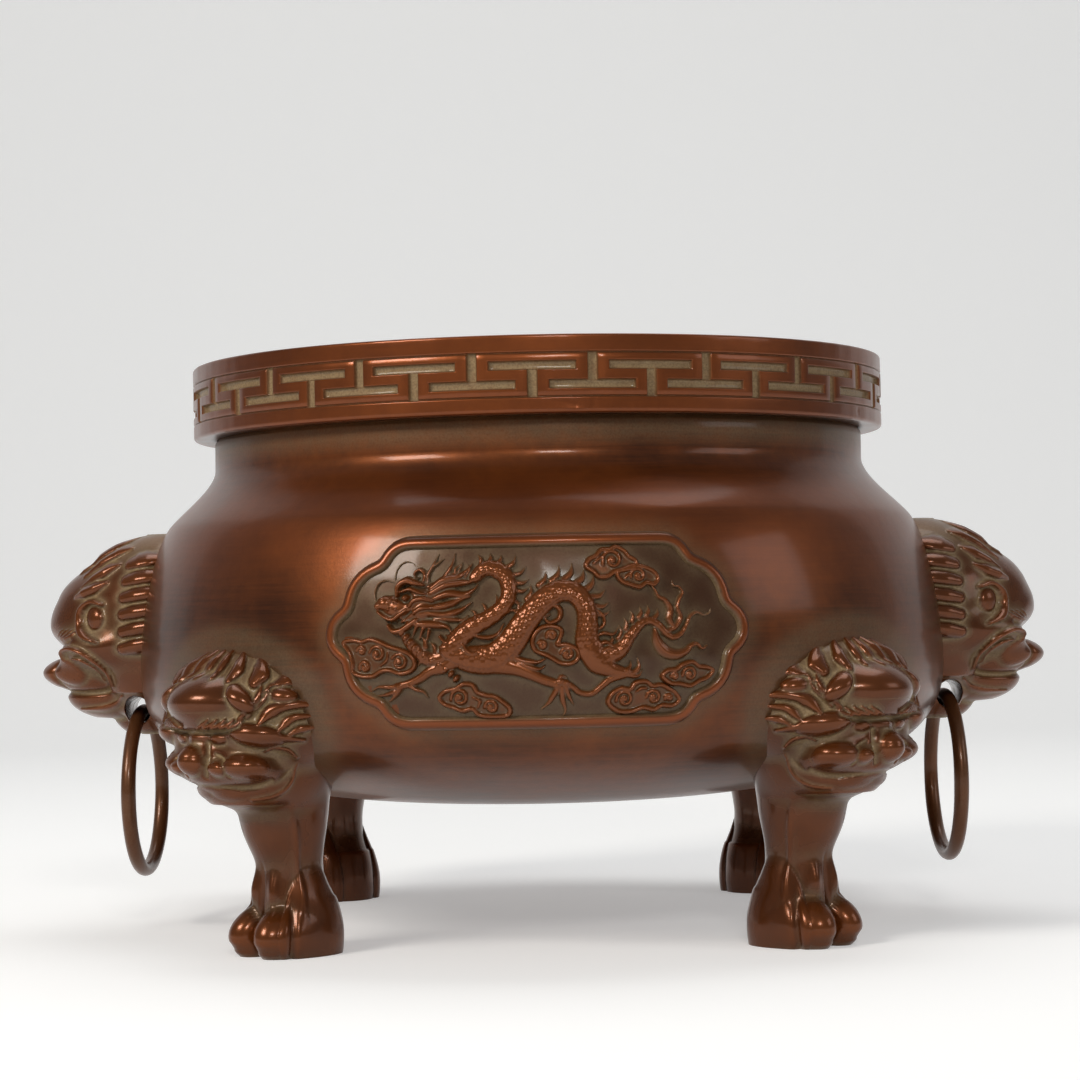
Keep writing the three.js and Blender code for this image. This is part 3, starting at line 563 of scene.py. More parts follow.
def panel_outline():
    """The panel's outline in s and h, clockwise from the middle of its upper edge: a straight
    edge, a small round shoulder, a lobe and an arch at each end, evenly spaced and softened."""
    shoulder, notch, tip = (23.5, 16.05), (28.2, 12.05), (34.5, 4.3)
    edge = shoulder[1]
    arch = arc(tip, (tip[0], -tip[1]), 3.6, 16)
    straight = np.stack([np.linspace(0, shoulder[0], 12, endpoint=False), np.full(12, edge)], -1)
    quarter = np.vstack([straight, arc(shoulder, notch, 1.35, 8), arc(notch, tip, 2.3, 14), arch[:9]])
    flip = quarter[1:-1][::-1] * (1, -1)
    right = np.vstack([quarter, flip, [[0, -edge]]])
    line = np.vstack([right, right[1:-1][::-1] * (-1, 1)])
    step = np.hypot(*(line - np.roll(line, 1, axis=0)).T)
    run = np.cumsum(step)
    at = np.linspace(0, run[-1], 420, endpoint=False)
    even = np.stack([np.interp(at, run - step[0], line[:, k], period=run[-1]) for k in (0, 1)], -1)
    for _ in range(14):
        even = (np.roll(even, 1, axis=0) + 2 * even + np.roll(even, -1, axis=0)) / 4
    return even


def arc(start, end, bulge, steps):
    """Circular arc between two points that swells to the left of its chord by bulge."""
    a, b = np.array(start, dtype=np.float64), np.array(end, dtype=np.float64)
    chord = b - a
    half = np.hypot(*chord) / 2
    radius = (half**2 + bulge**2) / (2 * bulge)
    out = np.array([-chord[1], chord[0]]) / (2 * half)
    centre = (a + b) / 2 + out * (bulge - radius)
    first = math.atan2(a[1] - centre[1], a[0] - centre[0])
    sweep = -2 * math.asin(half / radius)
    angles = first + sweep * np.arange(steps) / steps
    return centre + radius * np.stack([np.cos(angles), np.sin(angles)], -1)


def outline_distance(x, y, line):
    """Distance of each point from a closed line of straight pieces."""
    best = np.full(x.shape, 1e9)
    for a, b in zip(line, np.roll(line, -1, axis=0)):
        way = b - a
        t = np.clip(((x - a[0]) * way[0] + (y - a[1]) * way[1]) / max(way @ way, 1e-12), 0, 1)
        best = np.minimum(best, np.hypot(x - a[0] - t * way[0], y - a[1] - t * way[1]))
    return best


class BURNER_OT_bowl(bpy.types.Operator):
    """Turns the bowl: outer wall, lip, neck and inner wall as one closed surface"""

    bl_idname = "burner.bowl"
    bl_label = "Bowl"

    def execute(self, context):
        around = context.scene.burner_sizes.turn_steps
        outer = np.vstack([OUTSIDE[:-1:2], OUTSIDE[-1:]])
        inner = wall_inside(outer)
        inner[0, 0] = 0
        inner = inner[inner[:, 1] < NECK_FOOT - 0.5][::2]
        neck_outer = np.stack([np.full(10, NECK_RADIUS), np.linspace(BAND_BOTTOM, RIM_TOP - 0.2, 10)], -1)
        ledge = np.array([[LEDGE_RADIUS, 95.5], [LEDGE_RADIUS, 97.6], [LEDGE_RADIUS - 0.15, 98.0]])
        lip = rounded_corner((NECK_RADIUS, RIM_TOP), (NECK_BORE, RIM_TOP), (NECK_BORE, NECK_FOOT), 0.9)
        flat = np.stack([np.linspace(NECK_RADIUS, NECK_BORE + 1.1, 5), np.full(5, RIM_TOP)], -1)
        neck_inner = np.stack([np.full(14, NECK_BORE), np.linspace(RIM_TOP - 1.4, NECK_FOOT, 14)], -1)
        profile = np.vstack([outer, ledge, neck_outer, flat, lip, neck_inner, inner[::-1]])
        angle = np.arange(around) / around * 2 * math.pi
        radius, height = profile[:, 0][None, :], profile[:, 1][None, :]
        x = radius * np.sin(angle)[:, None]
        y = -radius * np.cos(angle)[:, None]
        z = np.broadcast_to(height, x.shape)
        outside = np.arange(len(profile)) < len(outer)
        # The loose rings have rubbed a shallow spot where they knock against the wall
        rub = np.exp(-(((y - 11.2) / 5) ** 2) - ((z - 40.8) / 4.5) ** 2) * outside
        dent = 0.12 * waves(x, y, z, 7, 46) * outside - 0.55 * rub
        x, y = x * (1 + dent / 80), y * (1 + dent / 80)
        hollow, crest = self.marks(x, y, z, outside)
        marks = {"hollow": hollow, "crest": crest + 0.5 * rub}
        faces = grid_faces(around, len(profile), True, False)
        made = finish_mesh("bowl_cast", np.stack([x, y, z], -1), faces, marks)
        close_poles(made)
        dress(made, "body", "body_bronze", "vessel", "bowl")
        return {"FINISHED"}

    def marks(self, x, y, z, outside):
        """Dust by the panels, lion masks and lugs, under the collar and belly and inside the
        bowl; rubbed crests on the shoulder and the lip."""
        line = panel_outline()
        s, h = np.arctan2(np.abs(x), np.abs(y)) * BELLY[0], z - PANEL_Z
        gap = outline_distance(s, h, line)
        panel = bell(np.maximum(gap - 1.2, 0), 0, 2.2) * ~inside_outline(s, h, line)
        turn = np.abs(np.arctan2(y, x))
        corner = np.minimum(np.abs(turn - math.pi / 4), np.abs(turn - 3 * math.pi / 4))
        # Dust rings the castings, whose outlines are ovals: half width and half height in millimetres
        around = 81
        mask_gap = np.hypot(corner * around / 22.5, (z - 45) / 15) - 1
        lug_gap = np.hypot(np.minimum(turn, math.pi - turn) * around / 20.5, (z - 62) / 20) - 1
        mask, lug = (bell(np.maximum(gap, 0), 0, 0.14) for gap in (mask_gap, lug_gap))
        under = 0.22 * ease(z, 93, 97.5) * (z < 99)
        below = 0.12 * ease(-z, -34, -26)
        hollow = np.maximum.reduce([0.34 * panel, 0.45 * mask, 0.35 * lug, under, below]) * outside
        hollow = hollow + 0.5 * ~outside * (z < RIM_TOP - 3)
        crest = 0.55 * ease(z, 60, 78) * (1 - ease(z, 84, 92)) * outside
        return hollow, crest + 0.5 * (z > RIM_TOP - 1.5)


def close_poles(made, everywhere=False):
    """Merges coincident corners on the upright axis, or everywhere on a mesh."""
    work = bmesh.new()
    work.from_mesh(made.data)
    ends = [v for v in work.verts if everywhere or math.hypot(v.co.x, v.co.y) < 1e-7]
    bmesh.ops.remove_doubles(work, verts=ends, dist=1e-6)
    work.to_mesh(made.data)
    work.free()


def fret_height(turn, h, depth):
    """Height of the collar's face at a turn (degrees) and a height above the fret's foot, and
    how deep in a groove it lies.

    Two T grooves stand in each repeat: one hangs its stem from the upper bar, the other, half
    a step on, stands on the lower bar. A thin line bounds the fret above and below. Each
    groove's wall falls over a third of a millimetre, by the distance from the T's outline.
    """
    arc_mm = math.radians(1) * BAND_RADIUS
    deep = np.zeros(np.broadcast(turn, h).shape)
    half = FRET_TURN / 2
    for shift, flip in ((0.0, 1), (half, -1)):
        s = ((turn - shift + half) % FRET_TURN - half) * arc_mm
        v = (h - FRET_TALL / 2) * flip
        bar = np.maximum(np.abs(s) - BAR_HALF, np.abs(v - BAR_LEVEL) - BAR_THICK)
        stem = np.maximum(np.abs(s) - STEM_HALF, np.abs(v + 1.5) - 2.62)
        deep = np.maximum(deep, ease(-np.minimum(bar, stem), -0.1, 0.24))
    line = np.minimum(np.abs(h - 0.05), np.abs(h - FRET_TALL + 0.05))
    return -depth * np.maximum(deep, 0.45 * bell(line, 0, 0.13)), deep


class BURNER_OT_collar(bpy.types.Operator):
    """Turns the collar with its meander fret pressed into the outer face"""

    bl_idname = "burner.collar"
    bl_label = "Collar and fret"

    def execute(self, context):
        depth = context.scene.burner_sizes.fret_depth
        turn = self.columns()
        rise = self.rows()
        top, bottom = RIM_TOP, BAND_BOTTOM
        bore = NECK_RADIUS + 0.05
        face = np.stack([np.full(len(rise), BAND_RADIUS), rise], -1)
        upper = rounded_corner((BAND_RADIUS, bottom), (BAND_RADIUS, top), (bore, top), 0.6)
        lower = rounded_corner((bore, bottom), (BAND_RADIUS, bottom), (BAND_RADIUS, top), 0.85)
        cap = [(BAND_RADIUS - 1.6, top), (BAND_RADIUS - 3, top), (bore + 0.3, top), (bore, top - 0.25)]
        inside = [(bore, top - 5), (bore, bottom + 0.3), (bore + 0.3, bottom), (BAND_RADIUS - 2, bottom)]
        profile = np.vstack([lower, face, upper, cap, inside])
        first = len(lower)
        deep = np.zeros((len(turn), len(profile)))
        groove, recess = fret_height(turn[:, None], rise[None, :] - FRET_LOW, depth)
        deep[:, first:first + len(rise)] = groove
        hollow = np.zeros_like(deep)
        hollow[:, first:first + len(rise)] = np.maximum(recess, -0.9 * groove / depth)
        angle = np.radians(turn)[:, None]
        radius = profile[:, 0][None, :] + deep
        height = np.broadcast_to(profile[:, 1][None, :], radius.shape).copy()
        on_face = np.abs(radius - deep - BAND_RADIUS) < 0.9
        radius = radius + 0.03 * waves(radius * np.sin(angle), radius * np.cos(angle), height, 3, 5) * on_face
        radius = radius - self.nicks(turn[:, None], height)
        x, y = radius * np.sin(angle), -radius * np.cos(angle)
        marks = {"hollow": hollow, "crest": 0.6 * (1 - hollow) * on_face}
        faces = grid_faces(len(turn), len(profile), True, True)
        made = finish_mesh("collar_fret", np.stack([x, y, height], -1), faces, marks)
        dress(made, "band", "band_bronze", "vessel", "rim_band")
        return {"FINISHED"}

    def columns(self):
        """Turns in degrees, gathered at the upright edges of the grooves."""
        arc_mm = math.radians(1) * BAND_RADIUS
        near = np.array([-0.3, -0.17, -0.06, 0.05, 0.16])
        sides = [edge for wide in (BAR_HALF, STEM_HALF) for edge in (-wide - near[::-1], wide + near)]
        edges = np.concatenate([*sides, [-4.4, 4.4, -2.6, 2.6, -6.2, 6.2, 0]]) / arc_mm
        half = FRET_TURN / 2
        three = np.concatenate([edges, edges + half, edges - half])
        one = np.unique(np.round(three[(three >= -half) & (three < half)], 4))
        return (one[None, :] + FRET_TURN * np.arange(FRET_COUNT)[:, None]).ravel()

    def rows(self):
        """Heights on the face, gathered at the level edges of the grooves."""
        near = np.array([-0.3, -0.18, -0.06, 0.05, 0.16, 0.3])
        middle = FRET_TALL / 2
        levels = (BAR_LEVEL - BAR_THICK, BAR_LEVEL + BAR_THICK)
        edges = [middle + flip * level for flip in (1, -1) for level in levels]
        spots = np.concatenate([e + near * side for e in edges for side in (1, -1)])
        line = np.array([-0.34, -0.2, -0.1, 0.0, 0.05, 0.1, 0.2, 0.34])
        plain = [middle, -1.2, -2, FRET_TALL + 1, FRET_TALL + 2]
        spots = np.concatenate([spots, line, FRET_TALL - line, plain])
        return FRET_LOW + np.unique(np.round(spots, 3))

    def nicks(self, turn, height):
        """A few knocks along the collar's edges, each a small soft dent."""
        dent = np.zeros(np.broadcast(turn, height).shape)
        for at, level, size, deep in (
            (5.2, 100.6, 0.5, 0.22), (6.4, 100.1, 0.7, 0.2), (3.4, 100.9, 0.4, 0.16),
            (9.1, 100.4, 0.5, 0.14), (-41, 111.9, 0.8, 0.18), (63, 100.2, 0.6, 0.2),
        ):
            away = np.hypot(((turn - at + 180) % 360 - 180) * 1.22, height - level)
            dent += deep * bell(away, 0, size)
        return dent


# ---------------------------------------------------------------- panels
def scaly(along, across, height):
    """Overlapping round scales in staggered rows along a body, and plates on its belly side."""
    u, v = along / 0.92, across * 1.75
    best = np.zeros_like(u)
    for k in (0, 1):
        row = np.floor(u) + k
        shift = 0.5 * (row % 2)
        near = np.round(v - shift) + shift
        away = ((u - row) / 0.78) ** 2 + ((v - near) / 0.56) ** 2
        best = np.maximum(best, np.sqrt(np.clip(1 - away, 0, 1)) * (0.75 + 0.4 * (u - row)))
    plates = 0.16 * np.abs(np.sin(math.pi * along / 0.85))
    scales = 0.3 * best - 0.12
    return height + np.where(across < -0.55, plates - 0.22, scales)


def combed(along, across, height):
    """Fine lengthwise hair lines on a strand."""
    return height + 0.07 * np.cos(across * 6) * (np.abs(across) < 0.95)


def tufted(along, across, height):
    """Three deep hair lines on a broad tuft."""
    return height - 0.13 * np.cos(across * 6.2) ** 2 * (np.abs(across) < 0.9)


# The dragon's tail, neck and trunk in the order in which they lie: path, widths, heights
BODY_PARTS = (
    ([(11, -4.9), (14.4, -3.8), (16.4, -1.2), (18.4, 0.9), (20, 1.4), (21.6, 0.5), (22.9, -0.9), (24.2, -1.6),
      (25.6, -1), (26.7, 0.5), (27.5, 2), (28.8, 2.7), (30.2, 2.2), (31.4, 2.6), (31.7, 3.4)],
     (3.2, 2.9, 2.4, 2, 1.8, 1.5, 1.4, 1.4, 1.2, 1.1, 0.9, 0.8, 0.7, 0.5, 0.2), (1.3, 1.2, 0.9, 0.8, 0.6, 0.4)),
    ([(-10.8, 9.6), (-9.4, 10.9), (-7.6, 11.1), (-5.6, 9.9), (-4.8, 7.8), (-5.1, 5.6), (-6.6, 3.7),
      (-8.8, 2.2), (-11.2, 1), (-13.2, -0.6), (-14.8, -2.6)],
     (2, 2.4, 2.6, 2.6, 2.5, 2.5, 2.6, 2.7, 3, 3.2, 3.2), (1, 1.25, 1.4, 1.4, 1.4, 1.45)),
    ([(-15.6, -3.2), (-13.4, -4.2), (-10.4, -4.8), (-7, -4.4), (-4.3, -1.8), (-2, 1.6), (0.8, 4.8),
      (3.8, 6.8), (6.6, 6.6), (8.5, 4.4), (8.9, 1.4), (8.7, -1.6), (9.8, -4.2), (11.8, -6)],
     (3, 3.9, 4.4, 4.5, 4.1, 3.8, 3.6, 3.5, 3.3, 3.1, 3.1, 3.4, 4, 3), (1.35, 1.6, 1.6, 1.5, 1.5, 1.5, 1.3)),
)
# Its legs, the same way, with smooth skin
FORE_LEGS = (
    ([(-14.6, -4.8), (-16.6, -6), (-18.8, -6.6), (-20.6, -7.8), (-22.8, -8.8), (-25, -9.2)],
     (3, 2.4, 1.8, 1.6, 1.5, 1.4), (1.2, 1, 0.9)),
    ([(-15, -3.6), (-17.4, -4.7), (-19.4, -4.4), (-21.2, -3), (-22.8, -1.4), (-24, 0.6)],
     (3, 2.8, 2.6, 2.4, 2, 1.4), (1.1, 1, 0.8)),
)
HIND_LEGS = (
    ([(-8.6, -5.2), (-4.6, -6), (-1.6, -7.2), (1, -8.5), (3.4, -9.3)],
     (4, 3.4, 2.5, 1.9, 1.8), (1.5, 1.3, 1.1, 1)),
    ([(9.2, -3.6), (10.6, -5.6), (13, -7), (15.4, -7.6)], (4.2, 4.2, 2.8, 1.9), (1.6, 1.4, 1)),
    ([(15.2, -7.9), (12.8, -8.6), (11.2, -9.8), (9.4, -11.1), (7.4, -10.9), (6, -9.8), (4.4, -8.9)],
     (1.5, 1.5, 1.3, 1.2, 1.2, 1.2, 1.5), (1, 0.9, 0.9)),
)
CLAWS = (
    ([(-24.4, -9.2), (-26.4, -9.4), (-28.4, -9.3), (-30, -10)], (1.1, 0.8, 0.3)),
    ([(-24.6, -9.8), (-25.6, -11), (-26.9, -12)], (1, 0.7, 0.3)),
    ([(-25.4, -10.2), (-27.6, -10.8), (-29, -10.9)], (0.9, 0.7, 0.3)),
    ([(-22.6, -9.2), (-21.4, -9.9), (-20.2, -10.3), (-19.5, -11.4)], (0.9, 0.7, 0.3)),
    ([(3.6, -9.8), (2.6, -11.4), (1.8, -12.6), (0.5, -13.7)], (1.1, 0.9, 0.3)),
    ([(4.2, -9.8), (4.3, -12), (4.8, -13.9), (4.4, -14.9)], (1.1, 0.9, 0.3)),
    ([(4.8, -9.6), (5.4, -11.4), (6.3, -13.1)], (1, 0.8, 0.3)),
    ([(3.6, -8.8), (4.2, -7.9), (5.2, -8.2)], (0.9, 0.7, 0.3)),
    ([(15.4, -7.6), (16.8, -7.6), (17.8, -6.6), (17.6, -5)], (1.2, 1, 0.3)),
    ([(15.2, -7.2), (16.2, -6.6), (16.4, -5.4)], (0.9, 0.7, 0.2)),
    ([(15.6, -8), (17.6, -8.2), (18.6, -7)], (0.9, 0.7, 0.2)),
)
# Fins at the tail and the hip's first tuft, then mane, whiskers, horns and tufts: path, widths, height
FINS = (
    ([(20.8, -0.2), (21.3, -2.4), (22.6, -4), (24.6, -4.6), (26.4, -4.1), (27.5, -3.1), (28.6, -2.9),
      (29.5, -3.7), (30.6, -3.1)],
     (0.8, 1.7, 2.1, 1.9, 1.5, 1, 0.8, 0.2), 0.8),
    ([(23, -0.6), (24.8, 0.5), (25.7, 2), (25.2, 3.6), (25.7, 5.1), (26.4, 6.3), (25.8, 7.3), (24.9, 7.5),
      (24.7, 8.3)],
     (1, 1.2, 1.1, 0.9, 0.7, 0.5, 0.2), 0.75),
    ([(24.4, 0), (23.6, 1.6), (23.9, 3.3), (23.1, 4.9), (21.9, 5.6), (21.3, 6.8), (20.7, 7.6)],
     (1, 1.3, 1.3, 1, 0.7, 0.3), 0.75),
    ([(-3.8, -4.6), (-2.2, -5.2), (0, -5.4), (1.4, -4.9)], (1.3, 1.1, 0.3), 1.0),
)
STRANDS = (
    ([(-18.8, 7.8), (-16.6, 9.3), (-13.8, 9.8), (-12.4, 10.8), (-11.4, 12)], (1.2, 1.3, 1.1, 0.3), 1.0),
    ([(-18.8, 7), (-16.4, 8.3), (-13.8, 8.7), (-11.6, 8.9), (-10.6, 9.8)], (1.3, 1.4, 1.2, 0.4), 1.15),
    ([(-18.4, 6), (-15.6, 6.9), (-12.8, 6.6), (-10.9, 7.6), (-10.3, 8.3)], (1.3, 1.5, 1.2, 0.3), 1.05),
    ([(-23.8, 2.4), (-21.8, 3.7), (-20, 4.9), (-18.2, 4.5), (-15.6, 4.9), (-13.2, 5.9), (-11.6, 6.3)],
     (0.9, 1.2, 1.4, 1.3, 0.4), 1.15),
    ([(-22, 3.2), (-19.2, 3.5), (-16.2, 3.2), (-13.4, 3.9), (-11.3, 5.3)], (0.9, 1.3, 1.3, 0.3), 1.0),
    ([(-22.8, 1.9), (-20, 1.6), (-17.6, 1.5), (-15.6, 1), (-15, 0)], (1, 1.5, 1.4, 0.3), 1.1),
    ([(-18, 2.4), (-15, 2.4), (-13, 2.2), (-12, 3)], (1, 1.1, 0.3), 0.8),
    ([(-16.4, 8.9), (-14.6, 10.3), (-14.4, 11.3), (-13.2, 12.2)], (0.9, 0.8, 0.2), 0.7),
    ([(-12.6, 9.6), (-11.8, 11), (-12.2, 12)], (0.9, 0.7, 0.2), 0.7),
    ([(-19.5, 8.4), (-19.5, 10.2), (-18.7, 11.8), (-17.7, 14)], (0.9, 0.8, 0.6, 0.2), 0.6),
    ([(-18.9, 11.4), (-17.8, 12.3), (-16.6, 13.1)], (0.6, 0.5, 0.2), 0.5),
    ([(-19.5, 8.1), (-17.4, 8.9), (-15.9, 10.5), (-15, 12.2), (-14.7, 13.9)], (1, 1, 0.9, 0.3), 0.75),
    ([(-15.8, 10.4), (-14.3, 10.4), (-13.5, 11.3), (-13.2, 12.4)], (0.7, 0.6, 0.2), 0.6),
    ([(-28.8, 5), (-29.4, 6), (-29.4, 8), (-28.6, 9.2), (-27.2, 9.4), (-26, 9)], (0.5, 0.42, 0.4, 0.2), 0.5),
    ([(-25.8, 9.6), (-25.5, 11.4), (-24.2, 12.6), (-22.6, 12.4), (-22, 11.6)], (0.4, 0.36, 0.2), 0.35),
    ([(-20.2, 9), (-20.1, 10.4), (-21, 11.2), (-22, 10.7), (-21.8, 9.8), (-21, 9.8)],
     (0.9, 0.8, 0.6, 0.3), 0.8),
    ([(-3.4, -5.4), (-1.4, -6.2), (0.4, -6.6), (1.4, -6)], (1.2, 0.9, 0.3), 1.1),
    ([(-11.8, 0), (-10, -0.8), (-8, -0.9), (-6.6, -0.2), (-5.7, 1.4)], (0.5, 0.8, 0.9, 0.7, 0.4), 1.0),
    ([(-12.8, -2), (-11.8, -3.4), (-10.6, -3.6), (-9.8, -2.4)], (0.6, 0.9, 0.7, 0.3), 1.75),
    ([(-17, -0.6), (-16, -1.6), (-15, -1.6), (-15.2, -0.6), (-16, -0.4)], (0.7, 0.8, 0.6, 0.3), 1.2),
    ([(-16.8, -2.4), (-15.8, -2.6), (-15.2, -3.4)], (0.7, 0.7, 0.3), 1.3),
    ([(-5.4, 3), (-4.2, 3.8), (-3.4, 3.2), (-4, 2.2), (-5, 1.2)], (0.5, 0.7, 0.7, 0.4), 0.8),
    ([(1, 4), (2.6, 4.6), (4.1, 3.8), (4, 2.2), (2.4, 1.4), (1.5, 2.3), (2.4, 2.9)],
     (0.8, 1, 1, 0.8, 0.5), 0.9),
    ([(10.2, 3.8), (11.6, 2.6), (11.8, 1), (10.6, 0.1), (9.4, 0.4)], (0.4, 0.7, 0.7, 0.4), 0.9),
    ([(10, -1.2), (11.6, -0.6), (13.4, -0.8), (14.4, 0.4)], (0.7, 0.8, 0.6, 0.2), 0.9),
    ([(10.2, -2.8), (12, -2.2), (13.4, -2.8), (14.6, -1.8)], (0.8, 0.9, 0.6, 0.2), 1.0),
    ([(11, -3.9), (12.4, -3.2), (14, -3.8)], (0.7, 0.8, 0.4), 1.3),
)
# Root, tip and width of the small spines along the back
SPINES = (
    ((0.6, 8), (1.9, 10.4), 1.0), ((2.8, 8.7), (4.3, 11.4), 1.0), ((5, 8.8), (6.6, 11.8), 1.1),
    ((7.2, 8.2), (8.7, 10.6), 1.1), ((8.8, 7), (10.4, 9.6), 1.1), ((9.8, 5.8), (12.4, 7), 1.0),
    ((10.3, 4.2), (13, 4.8), 0.9), ((10.4, 2.8), (13.2, 3.3), 0.9), ((-1.6, 5.6), (-0.9, 8.2), 0.9),
    ((-3.2, 3.2), (-3.6, 5.6), 0.9), ((-9.8, 11.8), (-10.6, 13.7), 0.9), ((-8.4, 12.1), (-8.3, 13.9), 0.9),
    ((-6.8, 12), (-6.2, 13.5), 0.9), ((-5.2, 11.2), (-3.5, 13.4), 0.9), ((-4.2, 9.9), (-1.7, 11.3), 0.8),
    ((-3.6, 8.6), (-1.1, 9.1), 0.8), ((-3.6, 7.2), (-1.2, 7.6), 0.8), ((-4, 5.6), (-2.2, 5), 0.8),
    ((-7, 4.8), (-7.2, 6.7), 0.7), ((-8.8, 3.6), (-9.8, 5.2), 0.7), ((-10.4, 2.6), (-11.8, 4), 0.7),
    ((12.6, -2.6), (13.2, -0.8), 0.8), ((14.2, -1.6), (14.6, 0.8), 0.8), ((15.6, 0), (15.4, 2.1), 0.8),
    ((16.8, 1.4), (16.6, 3.2), 0.8), ((18, 2), (18.4, 4), 0.8), ((19.4, 2.3), (19.8, 4.2), 0.8),
    ((20.8, 1.8), (21.6, 3.5), 0.8), ((-17.8, -3.4), (-19, -1.5), 0.9), ((-19.6, -2.4), (-20.6, -0.4), 0.9),
    ((-21, -3.6), (-22.9, -3.6), 0.8), ((-19.6, -4.8), (-21.2, -5.8), 0.8),
)
# Plate outlines, scrolls (centre, radius, start angle, turns) and loose ridges of each cloud
CLOUDS = {
    "upper": (
        [[(9.1, 11.2), (9.7, 12.4), (11, 13), (12, 14), (13.6, 14.1), (14.8, 14.5), (16.2, 13.8), (17, 12.8),
          (18.2, 12), (17.9, 10.9), (16.2, 10.5), (14.2, 10.2), (13, 9.4), (11.4, 9.3), (10.4, 10.2)],
          [(14.6, 9.9), (16.2, 10.7), (18, 11.2), (19.9, 10.8), (21.4, 10), (22, 8.8), (21.2, 7.8), (19.8, 8.1),
          (18.6, 7.4), (16.9, 7.8), (15.3, 8.5)]],
        [((13.9, 12.2), 1.9, 200, 1.4), ((18.4, 9.4), 1.4, 190, 1.3)],
        [[(10.4, 11.6), (11.6, 12.6), (12.6, 13.2)], [(16, 8.9), (16.9, 9.9)]],
    ),
    "left": (
        [[(-35.2, -1.4), (-33.2, -1), (-31.6, -1.3), (-30, -0.9), (-28.2, -1.4), (-26.4, -2.2), (-24.4, -2.8),
          (-22.6, -3.6), (-21.6, -5), (-22.2, -6.4), (-24.2, -7), (-26.4, -6.4), (-28, -6.6), (-29.6, -7.4),
          (-31.8, -7.4), (-33.4, -6.6), (-33.4, -5), (-34, -3.2)]],
        [((-24.5, -5), 1.5, 150, 1.5), ((-28.6, -3.5), 1.5, 170, 1.4), ((-31, -5.8), 1.1, 200, 1.3),
          ((-31.6, -2.9), 0.9, 180, 1.2)],
        [[(-28, -5.6), (-26.8, -4.6), (-26.6, -3.2)]],
    ),
    "lower": (
        [[(-17.4, -11.3), (-16.2, -10.2), (-14.4, -9.8), (-13, -9), (-11.4, -9.2), (-10.6, -10.4),
          (-9.2, -11), (-7.6, -11.3), (-6.2, -12.2), (-5, -13.4), (-5.4, -14.6), (-8, -14.8), (-10.4, -14.5),
          (-11.6, -13.4), (-13.4, -13.7), (-15.2, -13), (-16.6, -12.5)]],
        [((-13.7, -11.4), 1.6, 190, 1.5), ((-8.2, -13.1), 1.2, 180, 1.4)],
        [[(-11.4, -11.4), (-10.2, -12), (-10.6, -13.2)]],
    ),
    "middle": (
        [[(-0.4, -0.6), (0.8, 0.6), (2.8, 0.8), (4.3, 0.1), (4, -1.4), (3.6, -2.4), (5.4, -2.5), (7, -3.4),
          (7.1, -4.8), (6, -5.7), (4.2, -5.7), (2.8, -4.9), (1.6, -4.2), (-0.2, -3.4), (-0.8, -2)]],
        [((5.2, -4.1), 1.15, 170, 1.4), ((2.6, -0.8), 0.95, 200, 1.3), ((0.9, -2.5), 0.8, 150, 1.2)],
        [],
    ),
    "lower_right": (
        [[(12.3, -12.6), (13, -11.2), (14.6, -10.3), (16.2, -10.5), (17.2, -9.4), (19, -9.2), (20.2, -10),
          (21.8, -9.9), (23.2, -10.6), (24.4, -11.4), (25.2, -12.6), (24, -13.6), (22, -13.5), (20.6, -14.2),
          (18.6, -13.8), (16.6, -14.4), (14.6, -14.4), (13.2, -13.8)]],
        [((15.2, -12.2), 1.5, 190, 1.5), ((20.4, -12), 1.3, 180, 1.4), ((23.2, -12.2), 0.7, 200, 1.1)],
        [[(17.2, -11), (18.2, -10.4), (19.2, -10.4)]],
    ),
    "right": (
        [[(22, -8.4), (23, -7.4), (24.6, -7.2), (25.8, -6.4), (27.6, -6), (28.8, -6.8), (30.2, -7),
          (31.4, -7.6), (30.4, -8.8), (28.8, -9.4), (27.2, -10.2), (25.2, -9.8), (23.4, -9.6)]],
        [((27, -8.1), 1.3, 190, 1.4), ((24.2, -8.5), 0.7, 180, 1.1)],
        [],
    ),
}


def scroll(centre, radius, start, turns, count=14):
    """Spiral path from its rim to near its eye: radius * (1 - 0.8 * share) at a turning angle."""
    share = np.linspace(0, 1, count)
    angle = math.radians(start) - 2 * math.pi * turns * share
    r = radius * (1 - 0.8 * share)
    return np.stack([centre[0] + r * np.cos(angle), centre[1] + r * np.sin(angle)], -1)


